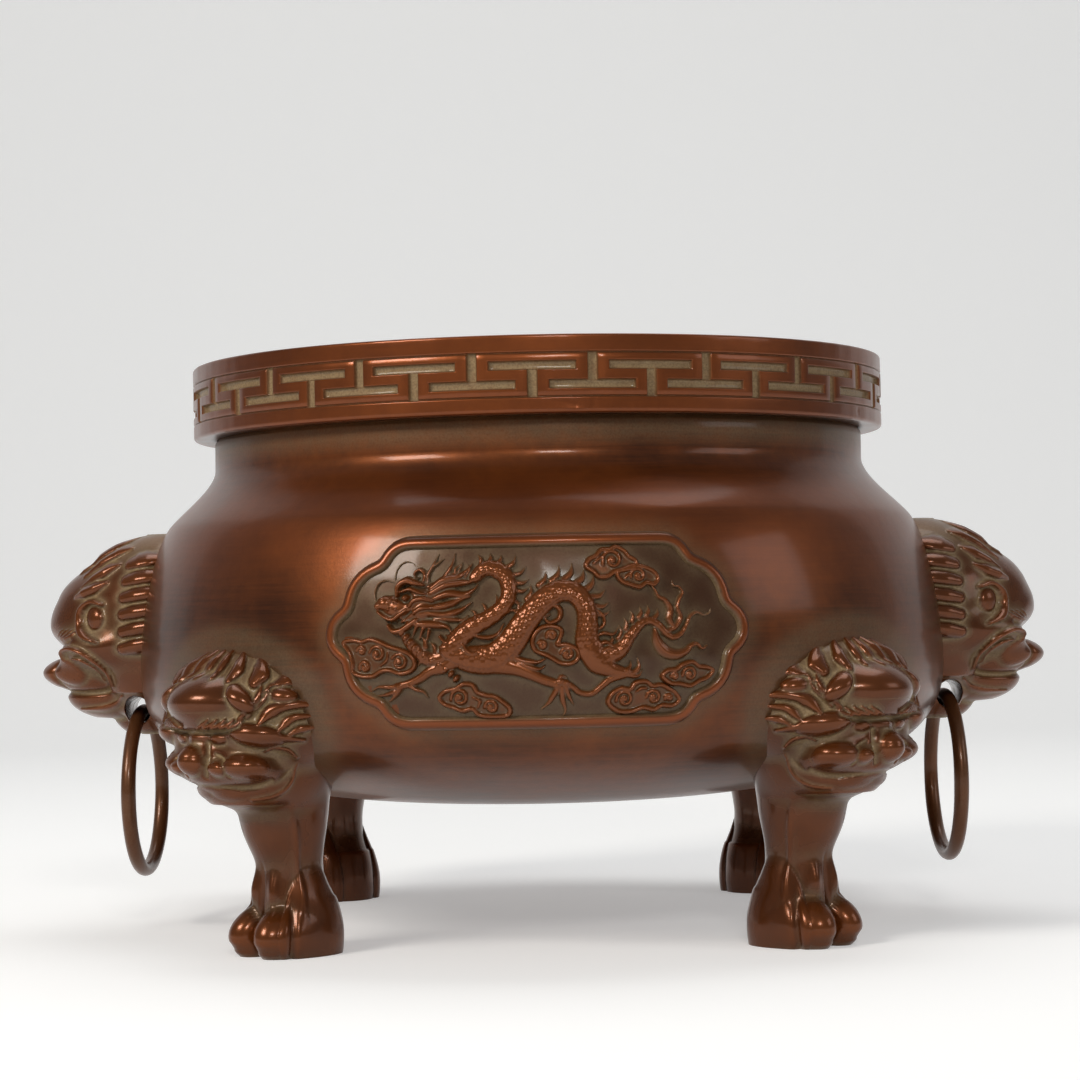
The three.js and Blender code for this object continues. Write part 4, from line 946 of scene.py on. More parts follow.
def carve_head(map_):
    """The dragon's head in profile: skull, muzzle, nostril, jaws, brow, eye, ear, teeth, warts and chin."""
    map_.mound((-21.2, 5.2), (4, 3.5), 1.5, smooth=0.3)
    map_.mound((-25.2, 4.7), (3.6, 2.2), 1.5, turn=-12, smooth=0.3)
    map_.mound((-27.3, 5.4), (1.8, 1.5), 1.9, smooth=0.2)
    map_.mound((-28.5, 4.9), (0.95, 0.9), 1.8, smooth=0.12)
    map_.stroke([(-28.4, 3.9), (-27, 2.9), (-25.6, 2.5), (-24.4, 3.3), (-23, 4.2)], (0.8, 1, 1.1, 0.8), 1.8)
    map_.stroke([(-24.8, 6.8), (-24.7, 8.4), (-23.4, 9.3), (-21.8, 8.9), (-20, 8.5)], (1, 1.5, 1.7, 1.3, 0.6),
                2.2)
    map_.stroke([(-24, 7.4), (-22.4, 7.8), (-20.8, 7.2), (-19.6, 6.9)], (0.8, 1.1, 1, 0.4), 2.1)
    map_.mound((-23.3, 6.3), (0.9, 0.8), 2.2)
    map_.groove([(-24.5, 6.2), (-23.3, 7.2), (-22.1, 6.4), (-23.2, 5.4), (-24.5, 6.2)], 0.2, 0.6)
    map_.stroke([(-22.4, 4.8), (-21.6, 5.8), (-20, 6.1), (-18.2, 5.6)], (0.9, 1.4, 1.3, 0.6), 2.15)
    map_.stroke([(-21.6, 3.6), (-20.2, 4.4), (-18.4, 4.4)], (0.9, 1.3, 0.5), 2)
    map_.stroke([(-26.4, 1.5), (-25.6, 0.5), (-24.2, 0.5), (-22.8, 1.3), (-21.2, 2.4)], (0.9, 1.4, 1.5, 1.1),
                1.7)
    for at in (-27, -26, -25, -24):
        map_.stroke([(at, 2.7), (at + 0.1, 1.9)], (0.6, 0.25), 1.5)
    map_.groove([(-27.2, 2.3), (-25.6, 1.9), (-23.6, 2.6), (-22.2, 3.8)], 0.26, 0.7)
    for place, size in (((-26, 5.9), 0.6), ((-25, 5.6), 0.55), ((-26.3, 4.4), 0.55), ((-24.9, 4.3), 0.5),
                        ((-27.6, 6.3), 0.5)):
        map_.mound(place, (size, 0.85 * size), 2)
    for start, stop in (((-22.4, 1.6), (-23.4, 0)), ((-21.2, 1.2), (-22, -0.6)), ((-20, 0.8), (-20.8, -1.2)),
                        ((-18.9, 0.4), (-19.4, -1.4))):
        map_.stroke([start, stop], (0.9, 0.3), (1.4, 0.8))


def dragon_map(step):
    """Height map of the whole dragon, the nearer parts laid over the farther ones."""
    map_ = Relief((-31.4, -15.8), (33, 15.2), step)

    def draw(rows, wider, higher, **look):
        """Strokes in their rows, all made wider and higher by a share."""
        for path, widths, tops in rows:
            map_.stroke(path, wider * np.array(widths), higher * np.array(tops), **look)

    for root, tip, width in SPINES:
        bend = (np.array(tip) - root)[::-1] * (0.16, -0.16)
        middle = (np.array(root) + tip) / 2 + bend
        map_.stroke([root, middle, tip], (1.5 * width, 1.15 * width, 0.24), (1, 0.9, 0.5))
    draw(FINS, 1.25, 1.3, detail=combed)
    draw(FORE_LEGS, 1.15, 1.2, smooth=0.15)
    for path, widths in CLAWS:
        map_.stroke(path, 1.3 * np.array(widths), (1.25, 1, 0.6))
    draw(BODY_PARTS, 1.26, 1.3, detail=scaly, power=0.42)
    draw(HIND_LEGS, 1.1, 1.25, smooth=0.2)
    for place in ((4, -8.9), (4.9, -9.2), (15.7, -7.3), (-24.6, -9.4), (3.3, -9.5)):
        map_.mound(place, (0.9, 0.8), 1.5)
    for path, widths, top in STRANDS:
        tops = 1.3 * top * np.array((0.9, 1, 1, 0.6))
        map_.stroke(path, 1.32 * np.array(widths), tops, power=0.6, detail=combed)
    beard = spline([(-23.8, 0.2), (-22.4, -1.6), (-20.6, -3.4), (-18.4, -4.9), (-16, -6.4), (-14.2, -8)], 11)
    for place in beard:
        map_.mound(place, (0.95, 0.6), 1.6, turn=-130)
    carve_head(map_)
    map_.height = np.where(map_.height > EMPTY, map_.height, -0.9)
    soft = blurred(map_.height)
    map_.height = np.where(map_.height > 0, 0.35 * soft + 0.65 * map_.height, soft)
    return map_


def relief_marks(map_, low, high):
    """Dust where the map is low or creased, and rubbed crests where it is high or sharp."""
    height = np.maximum(map_.height, 0)
    sink = blurred(height, 10) - height
    hollow = np.clip(0.9 - ease(height, low, high) + 2.2 * np.maximum(sink, 0), 0, 1)
    crest = np.clip(ease(height, low + 0.2, high + 0.3) - 2.2 * sink, 0, 1)
    return {"hollow": hollow, "crest": crest}


def cells_over(height, level):
    """Cells of a grid with at least one corner above a level."""
    over = height > level
    return over[:-1, :-1] | over[1:, :-1] | over[1:, 1:] | over[:-1, 1:]


class BURNER_OT_panels(bpy.types.Operator):
    """Lays the moulded panel, its ground, the dragon and the clouds on the front and back"""

    bl_idname = "burner.panels"
    bl_label = "Dragon panels"

    def execute(self, context):
        step = context.scene.burner_sizes.relief_step
        maps = {"dragon": dragon_map(step)}
        for place, shape in CLOUDS.items():
            maps[f"cloud_{place}"] = self.cloud(shape, step)
        sheets = [
            ("ground", "panel_ground", self.ground(1.5 * step, maps.values()), -0.4, "ground", "panel_ground"),
            ("moulding", "panel_moulding", self.moulding(step), -0.5, "body", "body_bronze"),
        ]
        for place, map_ in maps.items():
            low, high = (0.1, 1.1) if place == "dragon" else (0, 0.75)
            carved = (map_, cells_over(map_.height, -0.1), relief_marks(map_, low, high))
            sheets.append((f"{place}_relief", place, carved, -0.35, "relief", "relief_bronze"))
        for side, put in (("front", on_panel), ("back", on_back_panel)):
            for piece, solid, (map_, keep, marks), floor, finish, slot in sheets:
                made = relief_shell(f"{side}_{piece}", map_, put, keep, floor, marks)
                dress(made, finish, slot, "vessel", f"{side}_{solid}")
        return {"FINISHED"}

    def cloud(self, shape, step):
        """A cloud: a low plate with a raised rim, spiral scrolls with round eyes and ridges."""
        outlines, scrolls, ridges = shape
        every = np.vstack(outlines)
        map_ = Relief(every.min(axis=0) - 0.9, every.max(axis=0) + 0.9, step)
        for outline in outlines:
            map_.plate(outline, 0.55, 0.4)
            part, _, off, _ = map_.follow(closed_spline(outline, 5 * len(outline)), 0.6)
            rim = 1.25 * np.clip(1 - (off / 0.52) ** 2, 0, 1) ** 0.5
            map_.raise_to(part, np.where(np.abs(off) < 0.52, rim, NOTHING))
        for centre, radius, start, turns in scrolls:
            map_.stroke(scroll(centre, radius, start, turns), (0.8, 0.9, 0.75, 0.6), (1.05, 1.25, 1.35))
            map_.mound(centre, (0.34 * radius + 0.12,) * 2, 1.5)
        for ridge in ridges:
            map_.stroke(ridge, (0.4, 0.8, 0.4), 1.1)
        map_.height = np.where(map_.height > EMPTY, map_.height, -0.7)
        map_.height = 0.35 * blurred(map_.height) + 0.65 * map_.height
        return map_

    def ground(self, step, reliefs):
        """The panel's ground: a faintly uneven sheet inside the outline, dusty beside the reliefs."""
        line = panel_outline()
        map_ = Relief((-39.4, -16.6), (39.4, 16.6), step)
        inner = inside_outline(map_.x, map_.y, line)
        map_.height = 0.07 + 0.03 * waves(map_.x, map_.y, 0 * map_.x, 11, 4.5)
        gap = outline_distance(map_.x, map_.y, line)
        covered = np.zeros(map_.x.shape)
        for relief in reliefs:
            over = relief.at(map_.x, map_.y) > 0.05
            for here, there in ((map_.x, relief.x), (map_.y, relief.y)):
                over &= np.abs(here - there.mean()) < np.ptp(there) / 2
            covered = np.maximum(covered, over)
        near = blurred(blurred(covered, 12), 12)
        dust = 0.16 + 0.95 * near + 0.5 * bell(gap, 0, 1.7) + 0.1 * waves(map_.x, map_.y, 0 * map_.x, 5, 9)
        keep = inner[:-1, :-1] & inner[1:, :-1] & inner[1:, 1:] & inner[:-1, 1:]
        return map_, keep, {"hollow": np.clip(dust, 0, 1), "crest": 0 * dust}

    def moulding(self, step):
        """A half-round bead over the outline: height = 1.12 * sqrt(1 - (gap / 1.18)^2)."""
        line = panel_outline()
        map_ = Relief((-40.6, -17.8), (40.6, 17.8), step)
        gap = outline_distance(map_.x, map_.y, line)
        inner = inside_outline(map_.x, map_.y, line)
        half = 1.18
        bead = 1.12 * np.clip(1 - (gap / half) ** 2, 0, 1) ** 0.5
        map_.height = np.where(gap < half, bead, -1.6 * (gap - half))
        hollow = np.where(inner, ease(gap, 0.35, 1.2), 0.7 * ease(gap, 0.7, 1.3))
        return map_, cells_over(map_.height, -0.25), {"hollow": hollow, "crest": 1 - ease(gap, 0.1, 0.8)}


# ---------------------------------------------------------------- lion masks
def lobed_radius(lobes, axis, angle, height, power):
    """Distance from an upright axis to the soft union of ellipsoids.

    Each lobe is (x, y, z, deep, wide, tall). At a height its section is an ellipse whose half
    axes shrink by sqrt(1 - ((height - z) / tall)^2); the ray at an angle leaves it at the larger
    root of a quadratic. The union is (sum of r^power)^(1/power), and a lobe that doesn't hold
    the axis fades out by the 0.4th power of its shrinking.
    """
    total = np.zeros(np.broadcast(angle, height).shape)
    ca, sa = np.cos(angle), np.sin(angle)
    for x, y, z, deep, wide, tall in lobes:
        left = 1 - ((height - z) / tall) ** 2
        shrink = np.sqrt(np.clip(left, 0, 1))
        a, b = deep * np.maximum(shrink, 1e-6), wide * np.maximum(shrink, 1e-6)
        dx, dy = x - axis, y
        p = (ca / a) ** 2 + (sa / b) ** 2
        q = ca * dx / a**2 + sa * dy / b**2
        r = (dx / a) ** 2 + (dy / b) ** 2 - 1
        root = q**2 - p * r
        hit = (q + np.sqrt(np.clip(root, 0, None))) / p
        hit = np.where((root > 0) & (left > 0), np.maximum(hit, 0), 0)
        hit = hit * np.where(r > 0, np.maximum(shrink, 1e-6) ** 0.4, 1)
        total += hit**power
    return total ** (1 / power)


def both(x, y, z, deep, wide, tall):
    """A lobe and its twin on the mask's other side."""
    return [(x, y, z, deep, wide, tall), (x, -y, z, deep, wide, tall)]


LEG_LOBES = [
    (73, 0, 46, 14.6, 20, 13), (79.8, 0, 47.6, 12.8, 10.4, 5.9), (79.4, 0, 42, 10, 14.6, 5.4),
    *both(81.2, 6.4, 36.4, 6.8, 6.6, 4.8), (83.2, 0, 37.4, 7.4, 4.4, 4.8), (81.4, 0, 34.6, 7, 6.6, 4.4),
    (76.6, 0, 33.2, 9, 10.4, 6.6),
]
FOOT_LOBES = [
    (67.6, 0, 3.6, 6.6, 6, 15), *both(72.6, 3.7, 3.8, 5.6, 3.8, 5.8), *both(66.8, 5, 3, 6, 3.1, 14),
    (64, 0, 2.8, 5.8, 6.2, 12),
    (67.3, 0, 18, 6.2, 6.2, 22), (69, 0, 31, 8.6, 8.2, 15), (71.6, 0, 39, 11, 13, 13),
]


def leg_axis(height):
    """Where the leg's axis stands out from the bowl's middle at a height."""
    return 68.2 + 7.8 * np.clip(height / 46, 0, 1) ** 3


def lug_axis(height):
    """The lugs' axis stands upright."""
    return 0 * height + LUG_AXIS


def leg_carving(step):
    """Height map of half a leg mask, over MASK_ARC times the angle from its middle, and z."""
    map_ = Relief((-3, -1), (30, 60), step, level=0.0)
    # Mane: an arch of combed tufts behind the forehead
    for path, widths, top in (
        ([(-0.4, 57.8), (0.5, 55.2), (0.2, 53)], (2.2, 3.4, 2.2), 1.6),
        ([(6.6, 57.7), (5.9, 55.3), (5, 53.2)], (2.4, 3.8, 2.6), 1.8),
        ([(12.8, 56.9), (11.8, 54.5), (9.8, 52.3)], (2.4, 4, 2.6), 1.9),
        ([(18, 55.4), (17.2, 53.3), (15.4, 51.4)], (2.4, 3.8, 2.6), 1.8),
        ([(22.4, 52.8), (21.2, 51.6), (19.6, 50.9)], (1.2, 2.4, 1.4), 1.3),
    ):
        map_.stroke(path, widths, (0.6 * top, top, 0.8 * top), power=0.6, detail=tufted)
    map_.stroke([(-1, 58.4), (5, 58.3), (10, 57.6), (15, 56.4), (19, 54.8), (22.2, 52.4), (24.2, 48.6)],
                (0.8, 1, 0.8), 0.6)
    # Oval lobe beside the forehead with the strip behind it, and the ball of the ear
    map_.mound((12.6, 48.4), (3.7, 2.1), 2.2, turn=-44)
    map_.stroke([(16.8, 50.6), (15.8, 48.4), (13.8, 46.2), (11.6, 44.6)], (0.6, 1.7, 1.6, 0.5), 1.1)
    map_.stroke([(18.2, 50.4), (17.2, 48.4), (15.4, 46.4), (13.4, 44.8)], (0.4, 1, 1, 0.4), 0.8)
    map_.mound((20.2, 48.9), (2.3, 1.6), 1.8)
    map_.stroke([(24.2, 50), (21.6, 51), (18.6, 50.8), (17, 49.4)], (0.4, 0.8, 0.8, 0.4), 0.9)
    # Leaf-shaped hair behind the cheek, then the cheekbone with its tail
    map_.stroke([(25.4, 46.8), (21.8, 47.3), (18.4, 46.4), (15, 43.8)], (0.6, 2.1, 2.5, 0.7), 1.5)
    map_.stroke([(24.6, 45.2), (21, 44.9), (18.8, 43.4), (17.4, 42.2)], (0.5, 1.4, 1.4, 0.4), 1.1)
    map_.stroke([(24.4, 43), (21.6, 42.8), (18.8, 41.6)], (0.5, 1.6, 0.5), 1.0)
    map_.stroke([(21.6, 40.7), (19, 41.1), (15.6, 41.8)], (0.7, 1.7, 2.6), (0.7, 1.2, 1.5), power=0.6)
    map_.mound((14, 41.8), (4.9, 2.4), 1.8, turn=-8)
    # Brow hairs, the slot of the eye and its ball
    map_.groove([(11.4, 43.6), (8.4, 42.6), (4.6, 42.2), (0, 42.4)], 0.5, 1.2)
    map_.dimple(5.4, 41, 3.8, 1.5, 1.7)
    map_.mound((6, 41), (2.1, 1), 0.55, foot=-1.15)
    for at in np.linspace(4.2, 11, 5):
        map_.stroke([(at + 1.7, 44.7), (at + 0.2, 43.8), (at - 1.7, 43.1)], (0.4, 0.95, 0.4), 0.95)
    # Bridge, nose, nostril ball and upper lip
    map_.mound((0, 37.2), (2.7, 2.9), 1.5, smooth=0.2)
    map_.groove([(3.1, 40.4), (3.4, 38.4), (3.2, 36), (2.6, 34.4)], 0.4, 0.7)
    map_.mound((5.3, 35.8), (1.75, 1.45), 1.15)
    map_.groove([(7.3, 34.4), (7.5, 36), (6.6, 37.7), (4.8, 38.4)], 0.32, 0.6)
    map_.mound((10.8, 36.1), (4.1, 2.6), 0.9, power=0.8)
    map_.groove([(14.4, 33.4), (11.4, 32.4), (8, 32.1), (4, 32.4), (0, 32.6)], 0.5, 0.55)
    # Corner of the mouth: a hollow under the cheek with a line above, and the jaw's edge
    map_.dimple(16.8, 36.6, 2.4, 2.2, 1.5)
    map_.stroke([(20.4, 37.4), (18.6, 39), (16.4, 39.4), (14.6, 38.8)], (0.5, 0.9, 0.8, 0.4), 0.7)
    map_.stroke([(20.6, 36), (19.4, 33.4), (17, 31.4), (13.4, 30.2), (9, 29.8)], (0.5, 0.9, 0.9, 0.8, 0.4),
                0.5, power=0.8)
    map_.mound((4.4, 30.8), (4.2, 1.2), 0.4, power=1)
    # Valleys between the toes, the edge down the side of the shin and the step of the sole
    valley = bell(map_.x, 0, 1.5) * (1 - ease(map_.y, 8, 19))
    outer = bell(map_.x - 15.6 - 0.12 * map_.y, 0, 1.4) * (1 - ease(map_.y, 5, 14))
    map_.height -= 1.1 * (valley + 0.8 * outer)
    map_.dimple(7.6, 12.4, 3.2, 3.4, -0.9)
    edge = 19.6 + 1.4 * np.sin(map_.y * math.pi / 26)
    side = bell(map_.x, edge, 1.8) * ease(map_.y, 5, 12) * (1 - ease(map_.y, 23, 31))
    map_.height += 0.6 * side
    map_.height -= 0.5 * bell(map_.y, 1.9, 0.5) * (1 - ease(map_.x, 9, 13))
    return map_


LUG_LOBES = [
    (74, 0, 62, 22.4, 19.4, 18.9), (84.6, 0, 64, 14.8, 12.2, 11), *both(86, 8, 57.2, 11, 8.6, 6.4),
    (86, 0, 61, 13.2, 9.8, 7),
    *both(90, 4.6, 52.2, 8.4, 5.6, 5.4), (92.8, 0, 52.3, 8.8, 6.4, 5.2), (85.4, 0, 47.6, 12, 8.6, 5.4),
    (81.9, 0, 45.2, 6.6, 6, 6.2), *both(79, 7, 52, 9, 8, 8), *both(79, 6.4, 45.6, 6, 4, 7),
]


def lug_carving(step):
    """Height map of half a lug mask, over MASK_ARC times the angle from its middle, and z."""
    map_ = Relief((-3, 38), (34, 82), step, level=0.0)
    # Locks of the mane stacked against the bowl
    for level in (74.4, 71, 67.6, 64.2, 60.8, 57.4):
        map_.stroke([(29, level + 0.7), (26, level + 0.4), (22.6, level - 0.3)], (2.6, 3.5, 3.5, 2.6),
                    (1.5, 1.9, 1.9, 1.2), power=0.6)
    # Long combed locks over the crown
    for path in (
        [(21.4, 77.4), (16, 76.6), (11.4, 74.2), (8.6, 71.8)],
        [(15.4, 79.4), (10.4, 77.8), (6.2, 75.2), (4.6, 72.6)],
        [(9, 79.4), (5, 78), (2, 75.8), (0.8, 73.2)], [(19.6, 74), (16, 72.8), (12.8, 71), (10.6, 69.6)],
        [(17.8, 70.4), (14.8, 69.4), (12, 68.4), (10, 67.6)],
    ):
        map_.stroke(path, (1, 3, 2.8, 0.8), (0.7, 1.5, 1.5, 0.5), power=0.6, detail=combed)
    # Ear curl, brow, eye and the notch over the nose
    map_.stroke([(18, 66), (15.2, 66.6), (13, 65), (13, 62), (14.8, 60), (17.6, 58.6)],
                (0.7, 1.4, 1.7, 1.8, 1.5, 0.6), 1.5)
    map_.mound((16.4, 63.4), (2, 2.5), 1.2, turn=12)
    for at in np.linspace(6, 11, 4):
        map_.stroke([(at + 1.7, 61), (at + 0.4, 60), (at - 1.2, 59.2)], (0.4, 1.1, 0.4), 0.5)
    map_.groove([(11.4, 58.8), (7.6, 57.8), (4.6, 57.2)], 0.5, 0.5)
    map_.height -= 0.8 * bell(map_.y, 57, 2.6) * (1 - ease(map_.x, 4, 9))
    map_.dimple(5.8, 56.6, 2.8, 1.6, 1.3)
    map_.mound((6.2, 56.6), (2, 1), 0.5, foot=-1.2)
    # Cheek with its double arc, lip and nose
    map_.dimple(14, 52.2, 2, 2.6, 1.6)
    map_.stroke([(18, 49.6), (17.6, 52.8), (15.8, 55.8), (12.8, 57.3), (10.4, 56.6), (9.8, 54.8)],
                (0.6, 1.2, 1.3, 1.1, 0.6), 1.3)
    map_.stroke([(15.8, 50.8), (15.4, 53.4), (13.8, 54.9), (12, 55.2)], (0.4, 0.9, 0.9, 0.4), 0.8)
    map_.mound((8.6, 52.8), (3.1, 3), 1.3)
    map_.mound((2.6, 52.2), (2.6, 3), 0.8)
    map_.groove([(5.3, 55.6), (5.4, 53.4), (5.2, 51), (4.6, 49.4)], 0.45, 0.7)
    map_.groove([(14.6, 48.9), (11.4, 48.4), (7.4, 48.2), (3.4, 48.4), (0, 48.5)], 0.6, 1.1)
    map_.stroke([(19.2, 47.6), (15.4, 46), (10.6, 45), (5, 44.8)], (0.6, 1.2, 1.2, 0.5), 0.8, power=1)
    return map_


def mask_surface(name, lobes, shaft, axis, levels, carving, facing, columns, low=0.0):
    """Closed lobed surface with its carving laid on the radius and its back inside the wall.

    radius(angle, z) = lobed_radius + carving(MASK_ARC * |angle|, z). A shaft of softer lobes may
    join below. The first and last rings close on the axis; facing is the cosine and sine by
    which the mask is turned to its place.
    """
    angle = (np.arange(columns) / columns * 2 - 1) * math.pi
    angle = (angle - 0.12 * np.sin(2 * angle))[:, None]
    z = levels[None, :]
    along = axis(z)
    radius = lobed_radius(lobes, along, angle, z, MASK_POWER)
    if shaft:
        lower = lobed_radius(shaft, along, angle, z, 5)
        radius = (radius**MASK_POWER + lower**MASK_POWER) ** (1 / MASK_POWER)
    w = MASK_ARC * np.abs(angle)
    fade = 1 - ease(np.abs(angle), 1.75, 2.1)
    lift = carving.at(w, z) * fade
    grain = 0.04 * waves(radius * np.cos(angle), radius * np.sin(angle), z, 21, 5)
    radius = np.maximum(radius + lift + grain, 0.6)
    # Dust lies where the carving, or the whole surface, is under its own blurred copy
    sunk = np.clip(2.4 * (blurred(carving.height, 14) - carving.height), 0, 1)
    broad = blurred(np.vstack([radius, radius]), 18)[: len(radius)]
    valley = np.clip(2.1 * (broad - radius), 0, 1)
    on_mask = 0.25 + 0.75 * ease(z, low - 1.5, low + 1.5)
    hollow = np.clip(np.maximum(valley, carving.at(w, z, sunk) * fade) * 1.05, 0, 1) * on_mask
    crest = np.clip(0.35 + 1.2 * (radius - broad), 0, 1) * (1 - hollow)
    hollow = np.maximum(hollow, 0.5 * ease(z, levels[-1] - 8, levels[-1] - 4) * (lift < 0.7))
    x = along + radius * np.cos(angle)
    y = radius * np.sin(angle)
    z = np.broadcast_to(z, x.shape)
    # The back of the casting stops inside the bowl's wall
    push = np.maximum((bowl_radius(z) - 0.45 * WALL) / np.maximum(np.hypot(x, y), 1e-6), 1)
    grids = (x * push, y * push, z, hollow, crest)
    x, y, z, hollow, crest = (np.pad(grid, ((0, 0), (1, 1)), mode="edge") for grid in grids)
    x[:, [0, -1]] = along[0, [0, -1]]
    y[:, [0, -1]] = 0
    points = np.stack([*turned(x, y, *facing), z], -1)
    made = finish_mesh(name, points, grid_faces(*x.shape, True, False), {"hollow": hollow, "crest": crest})
    close_poles(made, everywhere=True)
    return made


class BURNER_OT_legs(bpy.types.Operator):
    """Models a lion-mask leg with its paw and sets it at the four corners"""

    bl_idname = "burner.legs"
    bl_label = "Lion legs"

    def execute(self, context):
        carving = leg_carving(0.16)
        lower = np.concatenate([[0, 0.15, 0.5, 1, 1.6, 2.3], np.arange(3, 28, 0.5)])
        levels = np.concatenate([lower, np.arange(28, 58.6, 0.24), [58.9, 59.3]])
        for name, turn in LEG_TURNS:
            facing = (math.cos(math.radians(turn)), math.sin(math.radians(turn)))
            made = mask_surface(
                f"lion_leg_{name}_cast", LEG_LOBES, FOOT_LOBES, leg_axis, levels, carving, facing, 380, low=28,
            )
            dress(made, "mask", "mask_bronze", "vessel", f"lion_leg_{name}")
        return {"FINISHED"}


def eye_cutter(x):
    """The flared tunnel across a lug's jaw: radius 2.35 + 0.0055 y^2 about the ring's hub."""
    middle = EYE_HEIGHT + 0.4
    reach = 16
    y = np.linspace(-reach, reach, 25)[:, None]
    radius = 2.35 + 0.0055 * y**2
    angle = np.arange(40) / 40 * 2 * math.pi
    points = np.broadcast_arrays(x + radius * np.cos(angle), y, middle + radius * np.sin(angle))
    front, back = (np.full((1, 40, 3), (x, end, middle)) for end in (-reach, reach))
    points = np.concatenate([front, np.stack(points, -1), back])
    marks = {"hollow": np.full(points.shape[:2], 0.7), "crest": np.zeros(points.shape[:2])}
    made = finish_mesh("eye_cutter", points, grid_faces(27, 40, False, True), marks)
    close_poles(made, everywhere=True)
    return made


def cut(made, cutter):
    """Cuts one mesh out of another for good."""
    step = made.modifiers.new("eye", "BOOLEAN")
    step.operation = "DIFFERENCE"
    step.solver = "EXACT"
    step.object = cutter
    graph = bpy.context.evaluated_depsgraph_get()
    mesh = bpy.data.meshes.new_from_object(made.evaluated_get(graph))
    made.modifiers.clear()
    old = made.data
    made.data = mesh
    mesh.name = made.name
    bpy.data.meshes.remove(old)
    spent = cutter.data
    bpy.data.objects.remove(cutter)
    bpy.data.meshes.remove(spent)


class BURNER_OT_lugs(bpy.types.Operator):
    """Models a lion-head lug with the eye for its ring and sets it on both sides"""

    bl_idname = "burner.lugs"
    bl_label = "Lion lugs"

    def execute(self, context):
        carving = lug_carving(0.16)
        levels = np.concatenate([[39.6, 39.8, 40.2], np.arange(40.6, 79.8, 0.24), [80, 80.25]])
        for name, side in (("right", 1), ("left", -1)):
            made = mask_surface(
                f"lion_lug_{name}_cast", LUG_LOBES, None, lug_axis, levels, carving, (side, 0), 360,
            )
            cut(made, eye_cutter(side * EYE_RADIUS))
            dress(made, "mask", "mask_bronze", "vessel", f"lion_lug_{name}")
        return {"FINISHED"}


class BURNER_OT_rings(bpy.types.Operator):
    """Bends the two loose rings that hang from the lugs"""

    bl_idname = "burner.rings"
    bl_label = "Loose rings"

    def execute(self, context):
        for name, side in (("right", 1), ("left", -1)):
            turn = np.arange(160)[:, None] / 160 * 2 * math.pi
            round_ = np.arange(28)[None, :] / 28 * 2 * math.pi
            # Torus: (R + r cos b) around the loop, r sin b across it, r slightly uneven
            wire = RING_WIRE * (1 + 0.02 * np.sin(3 * turn + 1) + 0.012 * np.sin(7 * turn)) + 0 * round_
            reach = RING_RADIUS + wire * np.cos(round_)
            out = wire * np.sin(round_)
            swing = math.radians(RING_TWIST) * side
            y, z = reach * np.sin(turn), reach * np.cos(turn) - RING_RADIUS
            x = side * EYE_RADIUS + out * math.cos(swing) - y * math.sin(swing)
            y = y * math.cos(swing) + out * math.sin(swing)
            worn = bell(np.minimum(turn, 2 * math.pi - turn), 0, 0.35) + 0 * round_
            marks = {"hollow": 0.25 * (1 - worn), "crest": 0.3 + 0.5 * worn}
            points = np.stack([x, y, z + EYE_HEIGHT], -1)
            made = finish_mesh(f"ring_{name}_wire", points, grid_faces(160, 28, True, True), marks)
            dress(made, "ring", "ring_bronze", f"ring_{name}", f"ring_{name}")
        return {"FINISHED"}


class BURNER_OT_rivets(bpy.types.Operator):
    """Turns the domed rivets that hold legs and lugs from inside the bowl"""

    bl_idname = "burner.rivets"
    bl_label = "Rivets"

    def execute(self, context):
        inner = wall_inside(OUTSIDE)
        places = [(f"leg_rivet_{name}", turn, 50) for name, turn in LEG_TURNS]
        places += [("lug_rivet_right", 0, 62), ("lug_rivet_left", 180, 62)]
        for name, turn, height in places:
            edge, rise, shank = 3.6, 1.8, 2.0
            wall = np.interp([height - edge, height + edge], inner[:, 1], inner[:, 0]).min()
            seat = wall - edge**2 / BELLY[0] - 0.3
            end = bowl_radius(height) + 6
            dome = np.linspace(0, math.pi / 2, 12)
            along = np.concatenate([seat - rise * np.cos(dome), [seat, seat, end - 0.2, end, end]])
            radius = np.concatenate([edge * np.sin(dome), [edge - 0.05, shank, shank, shank - 0.2, 0]])
            angle = np.arange(40)[:, None] / 40 * 2 * math.pi
            x = along[None, :] + 0 * angle
            y, z = radius * np.cos(angle), height + radius * np.sin(angle)
            x, y = turned(x, y, math.cos(math.radians(turn)), math.sin(math.radians(turn)))
            marks = {"hollow": np.full(x.shape, 0.45), "crest": np.zeros(x.shape)}
            faces = grid_faces(40, len(along), True, False)
            made = finish_mesh(f"{name}_head", np.stack([x, y, z], -1), faces, marks)
            close_poles(made, everywhere=True)
            dress(made, "rivet", "rivet_bronze", "vessel", name)
        return {"FINISHED"}


